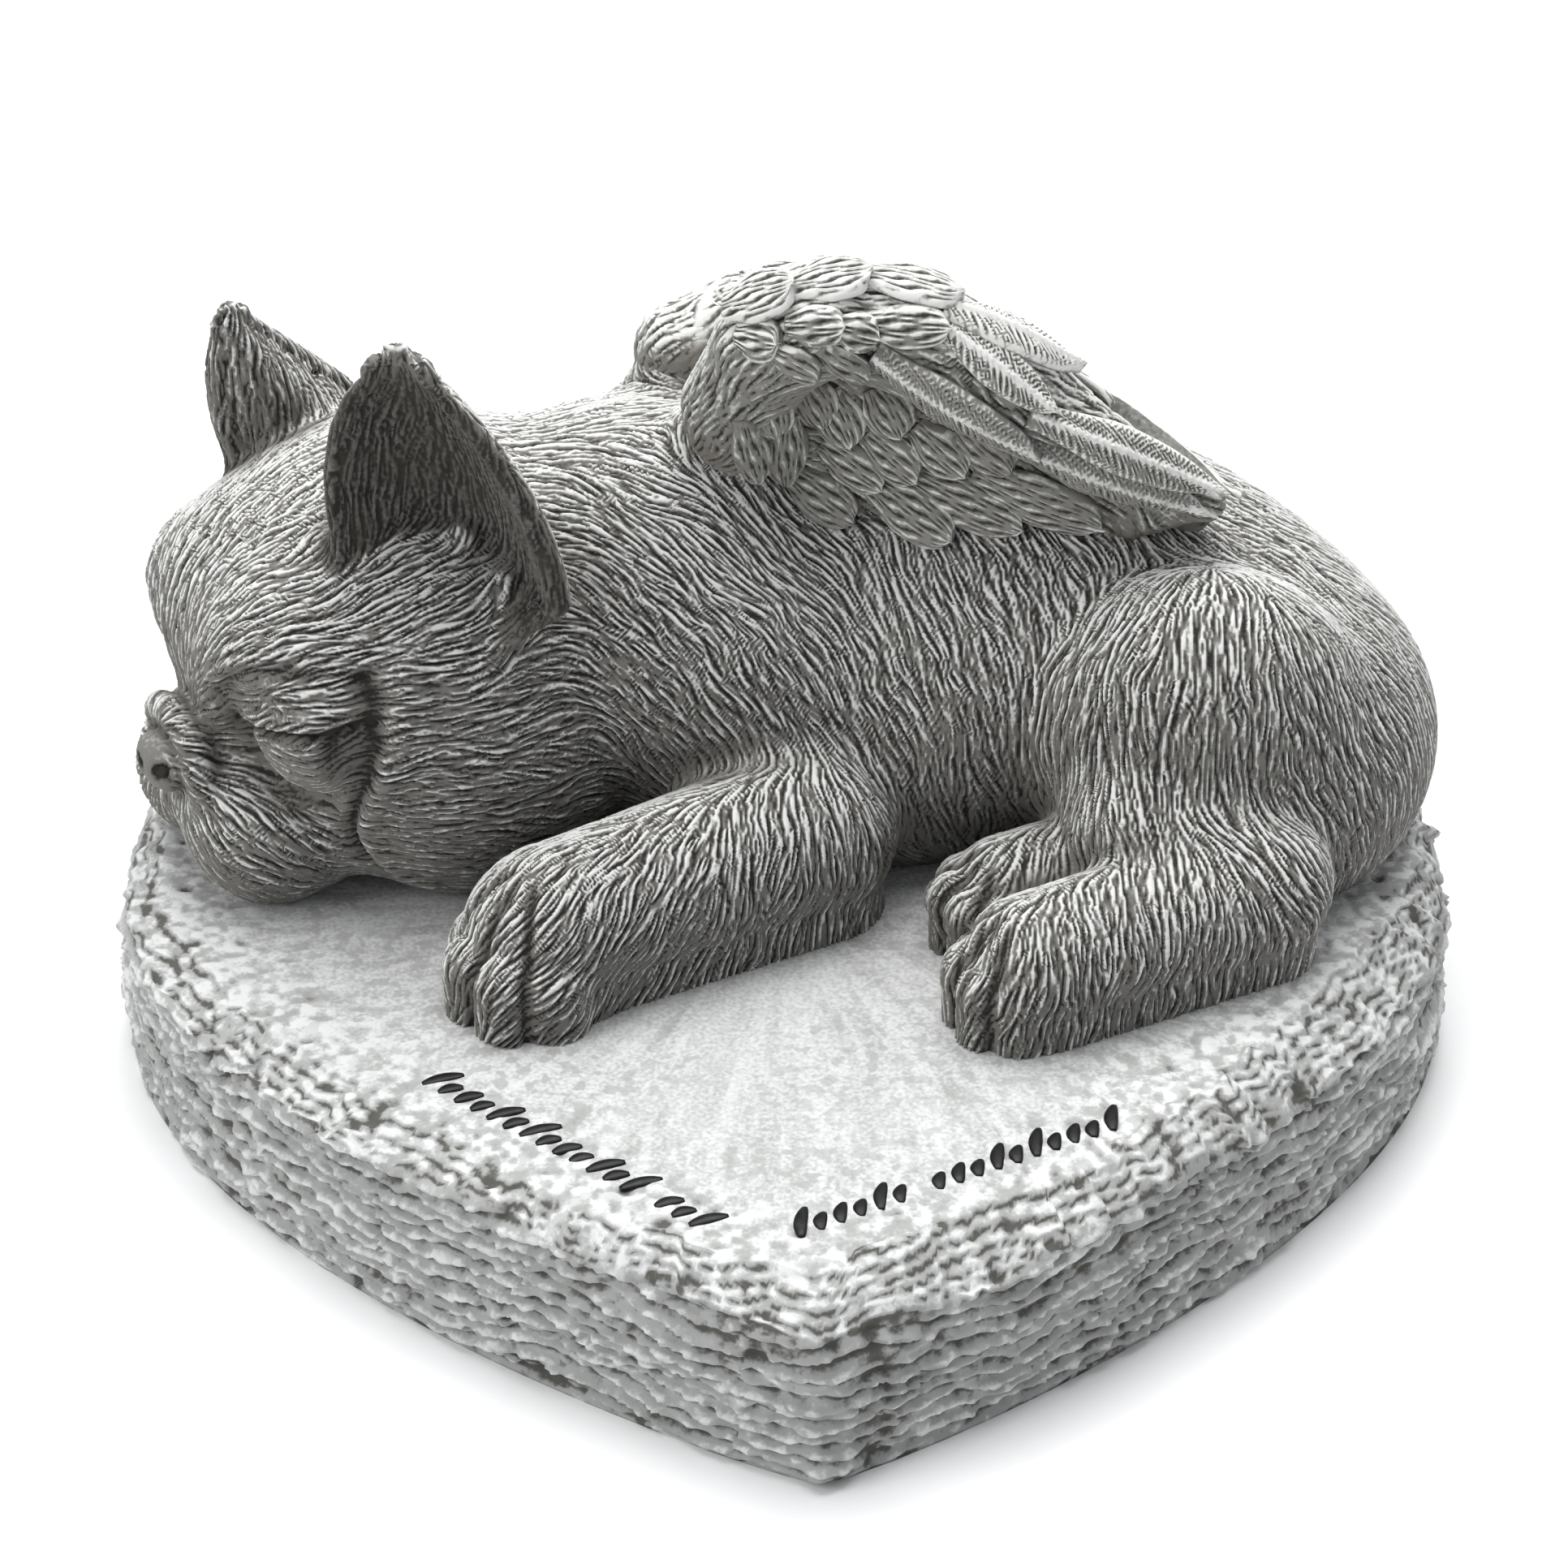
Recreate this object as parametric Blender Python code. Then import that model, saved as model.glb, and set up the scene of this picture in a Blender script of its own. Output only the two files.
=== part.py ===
"""Pet memorial statue: a sleeping bulldog puppy with angel wings on a heart-shaped rock.

The statue is one resin casting, so the model ends as one closed solid. The puppy is put
together from round masses, tapered limbs and bent blades, which a voxel remesh welds into
one skin. Creases are cut into that skin, and it is then set into the ledged heart base.

Frame: metres, +Z up, the origin under the middle of the base. The heart's point is at -Y,
the puppy's head at -X and its rump at +X. The puppy's own coordinates are shares of its
length: 200 figure units from muzzle to rump, with z counted from the top of the base.
"""

from math import acos, cos, pi, radians, sin

import bmesh
import bpy
import numpy as np
from mathutils import Matrix, Vector

for old in list(bpy.data.objects):
    bpy.data.objects.remove(old, do_unlink=True)

# Heart base
BASE_WIDTH = 0.2050
BASE_HEIGHT = 0.0300
POINT_REACH = 0.0910
WIDEST_FORWARD = 0.0150
LOBE_HALF_WIDTH = 0.0560
LOBE_REACH = 0.0760
LOBE_SQUARENESS = 2.2
POINT_OFFSET = 0.0050
TOP_EDGE_ROUND = 0.0030
FOOT_FLARE = 0.0012
LEDGE_COUNT = 5
LEDGE_DEPTH = 0.0014
LEDGE_WAVE = 0.0005
OUTLINE_POINTS = 100

# Puppy
PUPPY_LENGTH = 0.2000
FIGURE_UNITS = 200.0
SKIN_VOXEL = 0.0013
SEAM_SOFTENING = 12
FIGURE_TRIANGLES = 6700

# Stroke rows on the base, where the keepsake line is written
STROKE_WIDTH = 0.0013
STROKE_DEPTH = 0.0009
STROKE_HEIGHT = 0.0058
STROKE_PITCH = 0.0034
STROKE_SLANT = radians(58)

UNIT = PUPPY_LENGTH / FIGURE_UNITS
HEAD_YAW = radians(210)
HEAD = Matrix.Translation((-57, 33, 31)) @ Matrix.Rotation(HEAD_YAW, 4, "Z")
BODY = Matrix.Identity(4)


# Shapes of the puppy, gathered in one mesh as overlapping closed bodies

def ball(bm, frame, centre, radii, tilt=0.0):
    """Add an ellipsoid whose axes follow frame, tilted about the frame's Y axis."""
    matrix = frame @ Matrix.Translation(centre) @ Matrix.Rotation(tilt, 4, "Y")
    bmesh.ops.create_icosphere(
        bm, subdivisions=4, radius=1.0, matrix=matrix @ Matrix.Diagonal((*radii, 1.0))
    )


def limb(bm, frame, start, end, start_radius, end_radius, flat=1.0):
    """Add a round-ended tapered limb: a sphere pulled apart at its middle, flat along Y."""
    start = Vector(start)
    along = Vector(end) - start
    turn = along.to_track_quat("Z", "Y").to_matrix()
    verts = bmesh.ops.create_uvsphere(bm, u_segments=18, v_segments=12, radius=1.0)["verts"]
    for vert in verts:
        far = vert.co.z > 0.01
        radius = end_radius if far else start_radius
        offset = turn @ (vert.co * radius)
        offset.y *= flat
        vert.co = frame @ (start + offset + (along if far else Vector()))


def chain(bm, frame, points, radii, flat=1.0):
    """Add a run of limbs through points."""
    for index in range(len(points) - 1):
        limb(bm, frame, points[index], points[index + 1], radii[index], radii[index + 1], flat)


def blade(bm, rows, thickness):
    """Add a closed plate from rows of surface points, thickened to both sides."""
    grid = [[bm.verts.new(point) for point in row] for row in rows]
    faces = []
    for low, high in zip(grid, grid[1:]):
        for index in range(len(low) - 1):
            faces.append(bm.faces.new((low[index], low[index + 1], high[index + 1], high[index])))
    bmesh.ops.recalc_face_normals(bm, faces=faces)
    bm.normal_update()
    for row in grid:
        for vert in row:
            vert.co += vert.normal * thickness / 2
    bmesh.ops.solidify(bm, geom=faces, thickness=thickness)


def feather(bm, root, tip, width, thickness, facing):
    """Add one flat, round-ended feather from root to tip, its face turned to facing."""
    along = Vector(tip) - Vector(root)
    length = along.length
    along.normalize()
    across = along.cross(Vector(facing)).normalized()
    outward = across.cross(along)
    turn = Matrix((along, across, outward)).transposed().to_4x4()
    centre = (Vector(root) + Vector(tip)) / 2
    matrix = Matrix.Translation(centre) @ turn @ Matrix.Diagonal(
        (length * 0.56, width / 2, thickness / 2, 1.0)
    )
    bmesh.ops.create_icosphere(bm, subdivisions=3, radius=1.0, matrix=matrix)


def add_head(bm):
    """Skull, cheeks, brows, and the short, broad muzzle."""
    ball(bm, HEAD, (0, 0, 3), (37, 37, 30))
    ball(bm, HEAD, (17, 0, -18), (25, 26, 14))
    ball(bm, HEAD, (29, 0, -9), (10.5, 11, 9))
    for side in (1, -1):
        ball(bm, HEAD, (-1, side * 19.5, -11), (26.5, 21.5, 20.5))
        ball(bm, HEAD, (24, side * 12, 8), (13, 14, 12))
        ball(bm, HEAD, (30, side * 10.5, -20), (12.8, 12.8, 11.5))


def add_face(bm):
    """Closed eyes, the bags below them, the nose and the fold that rolls over it."""
    ball(bm, HEAD, (42, 0, -14.5), (4.6, 6.2, 5.2))
    for side in (1, -1):
        ball(bm, HEAD, (27.5, side * 16.5, 0), (9.2, 10, 7.2))
        ball(bm, HEAD, (30.5, side * 15.5, -8.5), (7.5, 10, 4.5))
    roll = [(38, -8, -18), (41, -5, -10), (41.5, 0, -7.5), (41, 5, -10), (38.5, 8.5, -18)]
    chain(bm, HEAD, roll, [2.8] * 5)


def add_ear(bm, base, tip, opening, width, rear_curve, side):
    """One bat ear: a blade bent into a cup whose hollow faces the opening direction."""
    base = Vector(base)
    up = Vector(tip) - base
    height = up.length
    up.normalize()
    opening = Vector(opening)
    opening = (opening - up * opening.dot(up)).normalized()
    rearward = opening.cross(up) * side
    rows = []
    for share in np.linspace(-0.22, 1.0, 12):
        rise = max(share, 0.0)
        front = (-17.6 + 17.6 * rise ** 4) * width
        rear = (18.7 - 18.7 * rise ** rear_curve) * width
        tuck = max(-share, 0.0) * 36 * width
        front += tuck * 0.4
        rear -= tuck * 1.4
        half = max((rear - front) / 2, 1.6)
        row = []
        for place in np.linspace(-1.0, 1.0, 11):
            across = (front + rear) / 2 + half * place
            inward = 3.0 - 0.55 * half * (1 - place * place)
            row.append(base + up * share * height + rearward * across + opening * inward)
        rows.append(row)
    blade(bm, rows, 5.0)


def add_body(bm):
    """Chest, barrel, belly, rump, neck and the near thigh."""
    ball(bm, BODY, (-22, 40, 30), (36, 34, 32))
    ball(bm, BODY, (25, 44, 28), (50, 32, 30))
    ball(bm, BODY, (14, 34, 16), (40, 29, 24))
    ball(bm, BODY, (40, 40, 27), (44, 33, 30))
    ball(bm, BODY, (70, 28, 16), (31, 34, 28))
    limb(bm, BODY, (-20, 40, 32), (-50, 38, 32), 29, 27)
    ball(bm, BODY, (62, 12, 27), (26, 19, 25))
    ball(bm, BODY, (-6, 18, 26), (20, 12, 20))


def add_paw(bm, centre, heading, spread, toe_radius, toe_height):
    """Four toes in an arc round the paw's centre, facing heading in degrees."""
    for toe in range(4):
        angle = radians(heading + (toe - 1.5) * 34)
        reach = spread * (1.0 if toe in (1, 2) else 0.86)
        place = (centre[0] + reach * cos(angle), centre[1] + reach * sin(angle), toe_height)
        limb(bm, BODY, centre, place, toe_radius, toe_radius)


def add_legs(bm):
    """Near foreleg, folded hind leg and the far hind paw that shows beside it."""
    limb(bm, BODY, (4, 3, 13), (-35, -18.5, 11.5), 13, 11.5)
    ball(bm, BODY, (-38, -19.5, 10), (12.5, 12, 10.5))
    limb(bm, BODY, (52, -3, 17), (71, -8, 13), 11, 10)
    limb(bm, BODY, (70, -9, 10.5), (34, -26.5, 9.5), 10.5, 10.3)
    limb(bm, BODY, (46, -1, 9), (30.5, -7, 8.5), 9, 8.6)


def add_paws(bm):
    """The toes of the three paws that show."""
    add_paw(bm, (-39, -20, 9), 212, 9.8, 5.4, 5.5)
    add_paw(bm, (34, -26, 9.5), 198, 7.4, 5.6, 7.0)
    add_paw(bm, (31, -6.5, 9), 205, 5.9, 5.0, 7.0)


def add_tail(bm):
    """The short tail stub behind the rump."""
    limb(bm, BODY, (86, 46, 20), (94, 52, 16), 7, 4)


NEAR_RIM = [(-7, 36, 58), (-7, 32, 70), (-2, 28, 82), (6, 26, 88), (20, 24, 85), (33, 22, 77.5),
            (46, 21, 68), (63, 22, 60)]
NEAR_FOOT = [(-10, 38, 54), (-6, 35, 52), (0, 33, 51), (10, 31, 49), (25, 28, 47), (39, 26, 49),
             (50, 25, 53), (61, 23, 58)]
NEAR_RADII = [7.5, 8, 8.3, 8.4, 8.8, 8.2, 6.2, 2.2]
FAR_RIM = [(-15.5, 60, 54), (-15.5, 60, 65), (-7, 61, 69), (4, 64, 68), (18, 69, 63),
           (32, 75, 54), (46, 80, 43), (60, 82, 32)]
FAR_FOOT = [(-18, 64, 48), (-14, 68, 46), (-2, 71, 42), (8, 74, 36), (18, 77, 30),
            (32, 80, 25), (46, 82, 25), (59, 82, 30)]
FAR_RADII = [7.5, 7.5, 7.5, 7.5, 7, 6, 4, 2.2]


def along(points, share):
    """The point at a share of the way along a list of points."""
    place = share * (len(points) - 1)
    index = min(int(place), len(points) - 2)
    return Vector(points[index]).lerp(Vector(points[index + 1]), place - index)


def add_wing(bm, rim, radii, foot, facing):
    """One wing: a rolled leading edge and the wall that hangs below it."""
    chain(bm, BODY, rim[:4], radii[:4])
    chain(bm, BODY, rim[3:], radii[3:], 0.62)
    back = Vector((0, -facing * 3.5, 0))
    rows = []
    for drop in np.linspace(0.0, 1.0, 5):
        stations = np.linspace(0.08, 1.0, 16)
        rows.append([(along(rim, s) + back).lerp(along(foot, s), drop) for s in stations])
    blade(bm, rows, 5.0)


def add_feathers(bm, rim, radii, foot, facing):
    """Rows of feathers on the wall, plates on the rolled edge and two flight feathers."""
    back = Vector((0, -facing * 3.5, 0))
    outward = Vector((0, facing, 0))
    sweep = Vector((1, 0, 0))
    # each row: first and last station, feather count, root and tip drop, sweep, width
    tiers = ((0.30, 0.72, 6, 0.22, 0.55, 3, 8.5), (0.26, 0.84, 7, 0.42, 0.78, 6, 8.5),
             (0.30, 0.90, 7, 0.62, 1.0, 11, 9.0))
    for number, (first, last, count, top, bottom, lean, width) in enumerate(tiers):
        for share in np.linspace(first, last, count):
            hang = (along(rim, share) + back).lerp(along(foot, share), top)
            reach = (along(rim, share) + back).lerp(along(foot, share), bottom)
            lift = outward * (4.4 - 1.1 * number)
            feather(bm, hang + lift * 0.5, reach + lift + sweep * lean, width, 3.4, outward)
    # plates on the rolled edge, overlapping down its length
    for tier, turn in enumerate((0.15, 0.85)):
        for share in np.linspace(0.10, 0.78, 9):
            radius = float(np.interp(share * 7, range(8), radii))
            lean = outward * radius * sin(turn) * 0.8 + Vector((0, 0, radius * cos(turn) * 0.9))
            start = along(rim, share) + lean
            end = along(rim, share + 0.10) + lean * 1.06
            feather(bm, start, end, 7.5, 2.4, lean)
    # two long flight feathers to the tip
    for offset in (0.0, 4.5):
        start = along(rim, 0.60) + outward * 5.5 - Vector((0, 0, offset))
        end = along(rim, 1.0) + outward * 0.8 + Vector((1, 0, 1.5 - offset))
        feather(bm, start, end, 8.0, 3.2, outward)


CREASES = (
    # closed eye, brow fold, cheek crease and whisker fold on each side of the head
    (((36, 9.5, -2), (34, 14, -4.2), (29, 20, -3.6), (24, 24, 0)), 0.9),
    (((37, 8, 5), (34, 14, 8.5), (28, 21, 8), (22, 26, 4)), 1.1),
    (((25.4, 21.1, 10.8), (24.7, 24.8, 4), (23.1, 27.5, -15.5), (17.2, 31, -29)), 1.7),
    (((39, 6, -2), (38, 11, -11), (34, 19, -17)), 1.1),
)
LIP_CREASE = (((45, 0, -19), (44.5, 0, -24), (42, 0, -29)), 1.1)


def add_creases(bm):
    """Round cords that lie along the face's folds, to be cut from the skin."""
    for points, radius in CREASES:
        for side in (1, -1):
            chain(bm, HEAD, [(x, side * y, z) for x, y, z in points], [radius] * len(points))
    chain(bm, HEAD, LIP_CREASE[0], [LIP_CREASE[1]] * 3)


# Turning gathered shapes into solid meshes

def make_object(name, bm, material=None):
    """Move a bmesh into a new object in the scene."""
    mesh = bpy.data.meshes.new(name)
    bm.to_mesh(mesh)
    bm.free()
    if material:
        mesh.materials.append(material)
    thing = bpy.data.objects.new(name, mesh)
    bpy.context.scene.collection.objects.link(thing)
    return thing


def settle(thing):
    """Apply the modifiers of an object by keeping its evaluated mesh."""
    graph = bpy.context.evaluated_depsgraph_get()
    mesh = bpy.data.meshes.new_from_object(thing.evaluated_get(graph))
    thing.modifiers.clear()
    old = thing.data
    thing.data = mesh
    bpy.data.meshes.remove(old)


def weld(thing, voxel):
    """Fuse overlapping closed bodies into one skin."""
    remesh = thing.modifiers.new("Weld", "REMESH")
    remesh.mode = "VOXEL"
    remesh.voxel_size = voxel
    settle(thing)


def soften(thing, rounds):
    """Round the seams between fused masses."""
    smooth = thing.modifiers.new("Soften", "SMOOTH")
    smooth.factor = 0.5
    smooth.iterations = rounds
    settle(thing)


def combine(thing, other, operation):
    """Cut another closed mesh from this one, or join it to this one, and discard it."""
    boolean = thing.modifiers.new("Combine", "BOOLEAN")
    boolean.operation = operation
    boolean.object = other
    settle(thing)
    bpy.data.objects.remove(other, do_unlink=True)


def thin_out(thing, triangles):
    """Reduce a skin to about the given number of triangles."""
    thing.data.calc_loop_triangles()
    decimate = thing.modifiers.new("Thin", "DECIMATE")
    decimate.ratio = min(1.0, triangles / len(thing.data.loop_triangles))
    settle(thing)


def place_figure(bm):
    """Turn figure units into metres, standing on the base top."""
    matrix = Matrix.Translation((0, 0, BASE_HEIGHT)) @ Matrix.Scale(UNIT, 4)
    bmesh.ops.transform(bm, matrix=matrix, verts=bm.verts)


def add_to(thing, bm):
    """Put more closed shapes into an object's mesh."""
    extra = bpy.data.meshes.new("extra")
    bm.to_mesh(extra)
    bm.free()
    both = bmesh.new()
    both.from_mesh(thing.data)
    both.from_mesh(extra)
    both.to_mesh(thing.data)
    both.free()
    bpy.data.meshes.remove(extra)


def make_puppy():
    """The winged puppy as one closed skin: soft masses, crisp parts, then creases."""
    wings = ((NEAR_RIM, NEAR_RADII, NEAR_FOOT, -1), (FAR_RIM, FAR_RADII, FAR_FOOT, 1))
    masses = bmesh.new()
    add_head(masses)
    add_body(masses)
    add_legs(masses)
    add_tail(masses)
    for wing in wings:
        add_wing(masses, *wing)
    place_figure(masses)
    puppy = make_object("puppy", masses)
    weld(puppy, SKIN_VOXEL)
    soften(puppy, SEAM_SOFTENING)
    crisp = bmesh.new()
    add_face(crisp)
    add_ear(crisp, HEAD @ Vector((5, 24, 22)), HEAD @ Vector((9, 23.5, 62)),
            (-0.35, -0.93, 0), 1.0, 2.2, -1)
    add_ear(crisp, (-77, 50, 53), (-84.5, 42.5, 84), (-0.665, 0.75, 0), 0.75, 1.3, 1)
    add_paws(crisp)
    for wing in wings:
        add_feathers(crisp, *wing)
    place_figure(crisp)
    add_to(puppy, crisp)
    weld(puppy, SKIN_VOXEL)
    cuts = bmesh.new()
    add_creases(cuts)
    place_figure(cuts)
    creases = make_object("creases", cuts)
    weld(creases, SKIN_VOXEL / 2)
    combine(puppy, creases, "DIFFERENCE")
    weld(puppy, SKIN_VOXEL)
    soften(puppy, 1)
    thin_out(puppy, FIGURE_TRIANGLES)
    return puppy


# Heart base

def heart_outline(count):
    """Points round the heart, evenly spaced, anticlockwise from the point at -Y."""
    half = BASE_WIDTH / 2
    lobe_centre = half - LOBE_HALF_WIDTH
    power = 2.0 / LOBE_SQUARENESS
    side = []
    for share in np.linspace(1.0, 0.0, 300):
        drop = WIDEST_FORWARD - share * (WIDEST_FORWARD + POINT_REACH)
        skew = POINT_OFFSET * max(0.0, -drop - 0.02) ** 2 / (POINT_REACH - 0.02) ** 2
        side.append((half * (1 - share ** 1.8) ** 0.9, drop, skew))
    cleft = pi - acos(min(1.0, (lobe_centre / LOBE_HALF_WIDTH)) ** (1 / power))
    for angle in np.linspace(0.0, cleft, 300)[1:]:
        across = np.sign(cos(angle)) * abs(cos(angle)) ** power
        back = sin(angle) ** power
        side.append((lobe_centre + LOBE_HALF_WIDTH * across, WIDEST_FORWARD + LOBE_REACH * back, 0.0))
    right = [(x + skew, y) for x, y, skew in side]
    left = [(-x + skew, y) for x, y, skew in reversed(side)]
    loop = np.array(right + left[1:])
    steps = np.hypot(*np.diff(loop, axis=0).T)
    run = np.concatenate([[0.0], np.cumsum(steps)])
    even = np.linspace(0.0, run[-1], count, endpoint=False)
    return np.stack([np.interp(even, run, loop[:, 0]), np.interp(even, run, loop[:, 1])], axis=1)


def outline_normals(points):
    """Unit directions pointing out of an anticlockwise outline."""
    tangent = np.roll(points, -1, axis=0) - np.roll(points, 1, axis=0)
    normal = np.stack([tangent[:, 1], -tangent[:, 0]], axis=1)
    return normal / np.linalg.norm(normal, axis=1, keepdims=True)


def make_base():
    """The heart slab with uneven ledges round its side and a flat underside."""
    points = heart_outline(OUTLINE_POINTS)
    normals = outline_normals(points)
    turn = np.linspace(0.0, 2 * pi, OUTLINE_POINTS, endpoint=False)
    body = BASE_HEIGHT - TOP_EDGE_ROUND
    rings = []
    for ledge in range(LEDGE_COUNT):
        ripple = LEDGE_WAVE * (np.sin(7 * turn + 1.9 * ledge) + np.sin(17 * turn + 0.7 * ledge))
        for share, sign in ((0.0, 1.0), (0.86, -0.6)):
            height = body * (ledge + share) / LEDGE_COUNT
            lift = 0.0 if height == 0 else LEDGE_WAVE * np.sin(5 * turn + 2.3 * ledge)
            flare = FOOT_FLARE * (1 - height / BASE_HEIGHT)
            rings.append((flare + sign * LEDGE_DEPTH / 2 + ripple, height + lift))
    rings.append((LEDGE_DEPTH / 3, body))
    rings.append((-TOP_EDGE_ROUND / 2, body + TOP_EDGE_ROUND * 0.75))
    rings.append((-TOP_EDGE_ROUND * 1.3, BASE_HEIGHT))
    bm = bmesh.new()
    loops = []
    for offset, height in rings:
        ring = points + normals * np.reshape(offset, (-1, 1))
        level = np.broadcast_to(height, (OUTLINE_POINTS,))
        loops.append([bm.verts.new((x, y, z)) for (x, y), z in zip(ring, level)])
    for low, high in zip(loops, loops[1:]):
        for index in range(OUTLINE_POINTS):
            after = (index + 1) % OUTLINE_POINTS
            bm.faces.new((low[index], low[after], high[after], high[index]))
    bm.faces.new(list(reversed(loops[0])))
    bm.faces.new(loops[-1])
    return make_object("memorial_statue", bm, resin_material())


def stroke_rows():
    """Centre, direction and length of every stroke of the two rows beside the heart's point."""
    rows = (((-0.0530, -0.0405), (-0.0117, -0.0734), (7, 2)), ((0.0010, -0.0756), (0.0491, -0.0506), (4, 7)))
    strokes = []
    for start, end, groups in rows:
        start = Vector((*start, 0))
        run = Vector((*end, 0)) - start
        length = run.length
        run.normalize()
        up = Vector((-run.y, run.x, 0))
        slots = int(length / STROKE_PITCH)
        gap = {int(slots * groups[0] / sum(groups))}
        for slot in range(slots):
            if slot in gap:
                continue
            tall = 1.0 if slot % 4 == 0 else 0.68
            lean = run * cos(STROKE_SLANT) + up * sin(STROKE_SLANT)
            foot = start + run * STROKE_PITCH * (slot + 0.5)
            strokes.append((foot, foot + lean * STROKE_HEIGHT * tall))
    return strokes


def make_strokes():
    """Slender wedges, one for each stroke, that reach just below the top of the base."""
    bm = bmesh.new()
    for foot, head in stroke_rows():
        along_stroke = head - foot
        turn = along_stroke.to_track_quat("X", "Z").to_matrix().to_4x4()
        centre = (foot + head) / 2 + Vector((0, 0, BASE_HEIGHT))
        size = Matrix.Diagonal((along_stroke.length, STROKE_WIDTH, 2 * STROKE_DEPTH, 1.0))
        bmesh.ops.create_cube(bm, size=1.0, matrix=Matrix.Translation(centre) @ turn @ size)
    return make_object("strokes", bm)


def resin_material():
    """Grey cast resin with a rubbed pale finish."""
    material = bpy.data.materials.new("cast_resin")
    material.use_nodes = True
    shader = material.node_tree.nodes["Principled BSDF"]
    shader.inputs["Base Color"].default_value = (0.42, 0.41, 0.38, 1.0)
    shader.inputs["Roughness"].default_value = 0.8
    shader.inputs["Metallic"].default_value = 0.0
    return material


def centre_on_origin(thing):
    """Move the mesh so that the middle of its underside is the origin."""
    corners = np.array([vert.co[:] for vert in thing.data.vertices])
    low = corners.min(axis=0)
    high = corners.max(axis=0)
    shift = Vector((-(low[0] + high[0]) / 2, -(low[1] + high[1]) / 2, -low[2]))
    thing.data.transform(Matrix.Translation(shift))


statue = make_base()
combine(statue, make_strokes(), "DIFFERENCE")
combine(statue, make_puppy(), "UNION")
statue.data.materials.clear()
statue.data.materials.append(resin_material())
centre_on_origin(statue)
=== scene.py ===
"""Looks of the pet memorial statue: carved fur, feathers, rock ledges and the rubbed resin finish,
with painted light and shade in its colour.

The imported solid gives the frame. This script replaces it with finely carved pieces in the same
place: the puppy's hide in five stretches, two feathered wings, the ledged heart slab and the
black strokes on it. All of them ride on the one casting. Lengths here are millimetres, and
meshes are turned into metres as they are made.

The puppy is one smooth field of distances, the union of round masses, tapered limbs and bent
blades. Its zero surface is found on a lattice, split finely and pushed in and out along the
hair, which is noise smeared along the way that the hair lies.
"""

from __future__ import annotations

import logging
from collections.abc import Callable, Iterator, Sequence
from concurrent.futures import ThreadPoolExecutor
from dataclasses import dataclass, field
from enum import Enum

import bpy
import numpy as np
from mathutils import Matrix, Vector


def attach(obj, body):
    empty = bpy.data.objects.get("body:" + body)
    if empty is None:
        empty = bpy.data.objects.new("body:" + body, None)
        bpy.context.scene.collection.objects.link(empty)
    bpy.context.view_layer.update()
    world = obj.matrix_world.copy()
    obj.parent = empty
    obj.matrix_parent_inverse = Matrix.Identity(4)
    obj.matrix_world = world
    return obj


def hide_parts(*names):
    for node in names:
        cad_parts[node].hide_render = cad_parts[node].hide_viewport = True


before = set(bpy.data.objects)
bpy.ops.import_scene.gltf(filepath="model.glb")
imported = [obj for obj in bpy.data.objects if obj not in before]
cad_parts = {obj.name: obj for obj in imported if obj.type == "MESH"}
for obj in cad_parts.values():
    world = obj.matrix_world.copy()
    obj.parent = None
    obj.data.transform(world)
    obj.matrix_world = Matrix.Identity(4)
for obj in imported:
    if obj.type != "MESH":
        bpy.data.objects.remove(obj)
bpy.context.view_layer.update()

LOG = logging.getLogger("memorial_statue")
NODE = "memorial_statue"
BODY = "root"
MILLIMETRE = 0.001
BASE_TOP = 30.0
TINY = 1e-9

# Distance given for a shape that is too far away to matter
FAR_OFF = 50.0

# Most that a point moves in one round of settling on a surface
LONGEST_MOVE = 1.2

STRAND_SEED = 7
SWAY_SEED = 8
LEDGE_SEED = 21
GRIT_SEED = 22

Field = Callable[[np.ndarray], np.ndarray]
Place = Sequence[float] | np.ndarray
Triple = tuple[float, float, float]
Cut = tuple[tuple[Triple, float], ...]


# Arithmetic on fields of distance

def soft_union(first: np.ndarray, second: np.ndarray, blend: float) -> np.ndarray:
    """Join two distance fields with a fillet.

    Args:
        first: Distances to one shape.
        second: Distances to the other shape.
        blend: How near the two surfaces are, in mm, where the fillet begins.

    Returns:
        The smaller distance, less a quarter of blend where the two are equal.
    """
    share = np.maximum(blend - np.abs(first - second), 0.0) / blend
    return np.minimum(first, second) - share * share * blend * 0.25


def soft_cut(first: np.ndarray, second: np.ndarray, blend: float) -> np.ndarray:
    """Take the second shape away from the first, with a rounded edge.

    Args:
        first: Distances to the shape that stays.
        second: Distances to the shape that is cut away.
        blend: Width of the rounded edge in mm.

    Returns:
        Distances to what is left.
    """
    return -soft_union(-first, second, blend)


def ellipsoid(
    points: np.ndarray, centre: Place, radii: Place, axes: np.ndarray | None = None
) -> np.ndarray:
    """Distance to an ellipsoid, by the usual scaled-norm estimate.

    Args:
        points: Rows of x, y, z.
        centre: Centre of the ellipsoid.
        radii: Three half lengths.
        axes: Columns are the ellipsoid's own axes; the world's if left out.

    Returns:
        One estimated distance a point, exact on the surface.
    """
    local = points - np.asarray(centre, float)
    if axes is not None:
        local = local @ axes
    radii = np.asarray(radii, float)
    scaled = np.linalg.norm(local / radii, axis=1)
    steep = np.linalg.norm(local / radii**2, axis=1) + TINY
    return scaled * (scaled - 1.0) / steep


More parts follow.
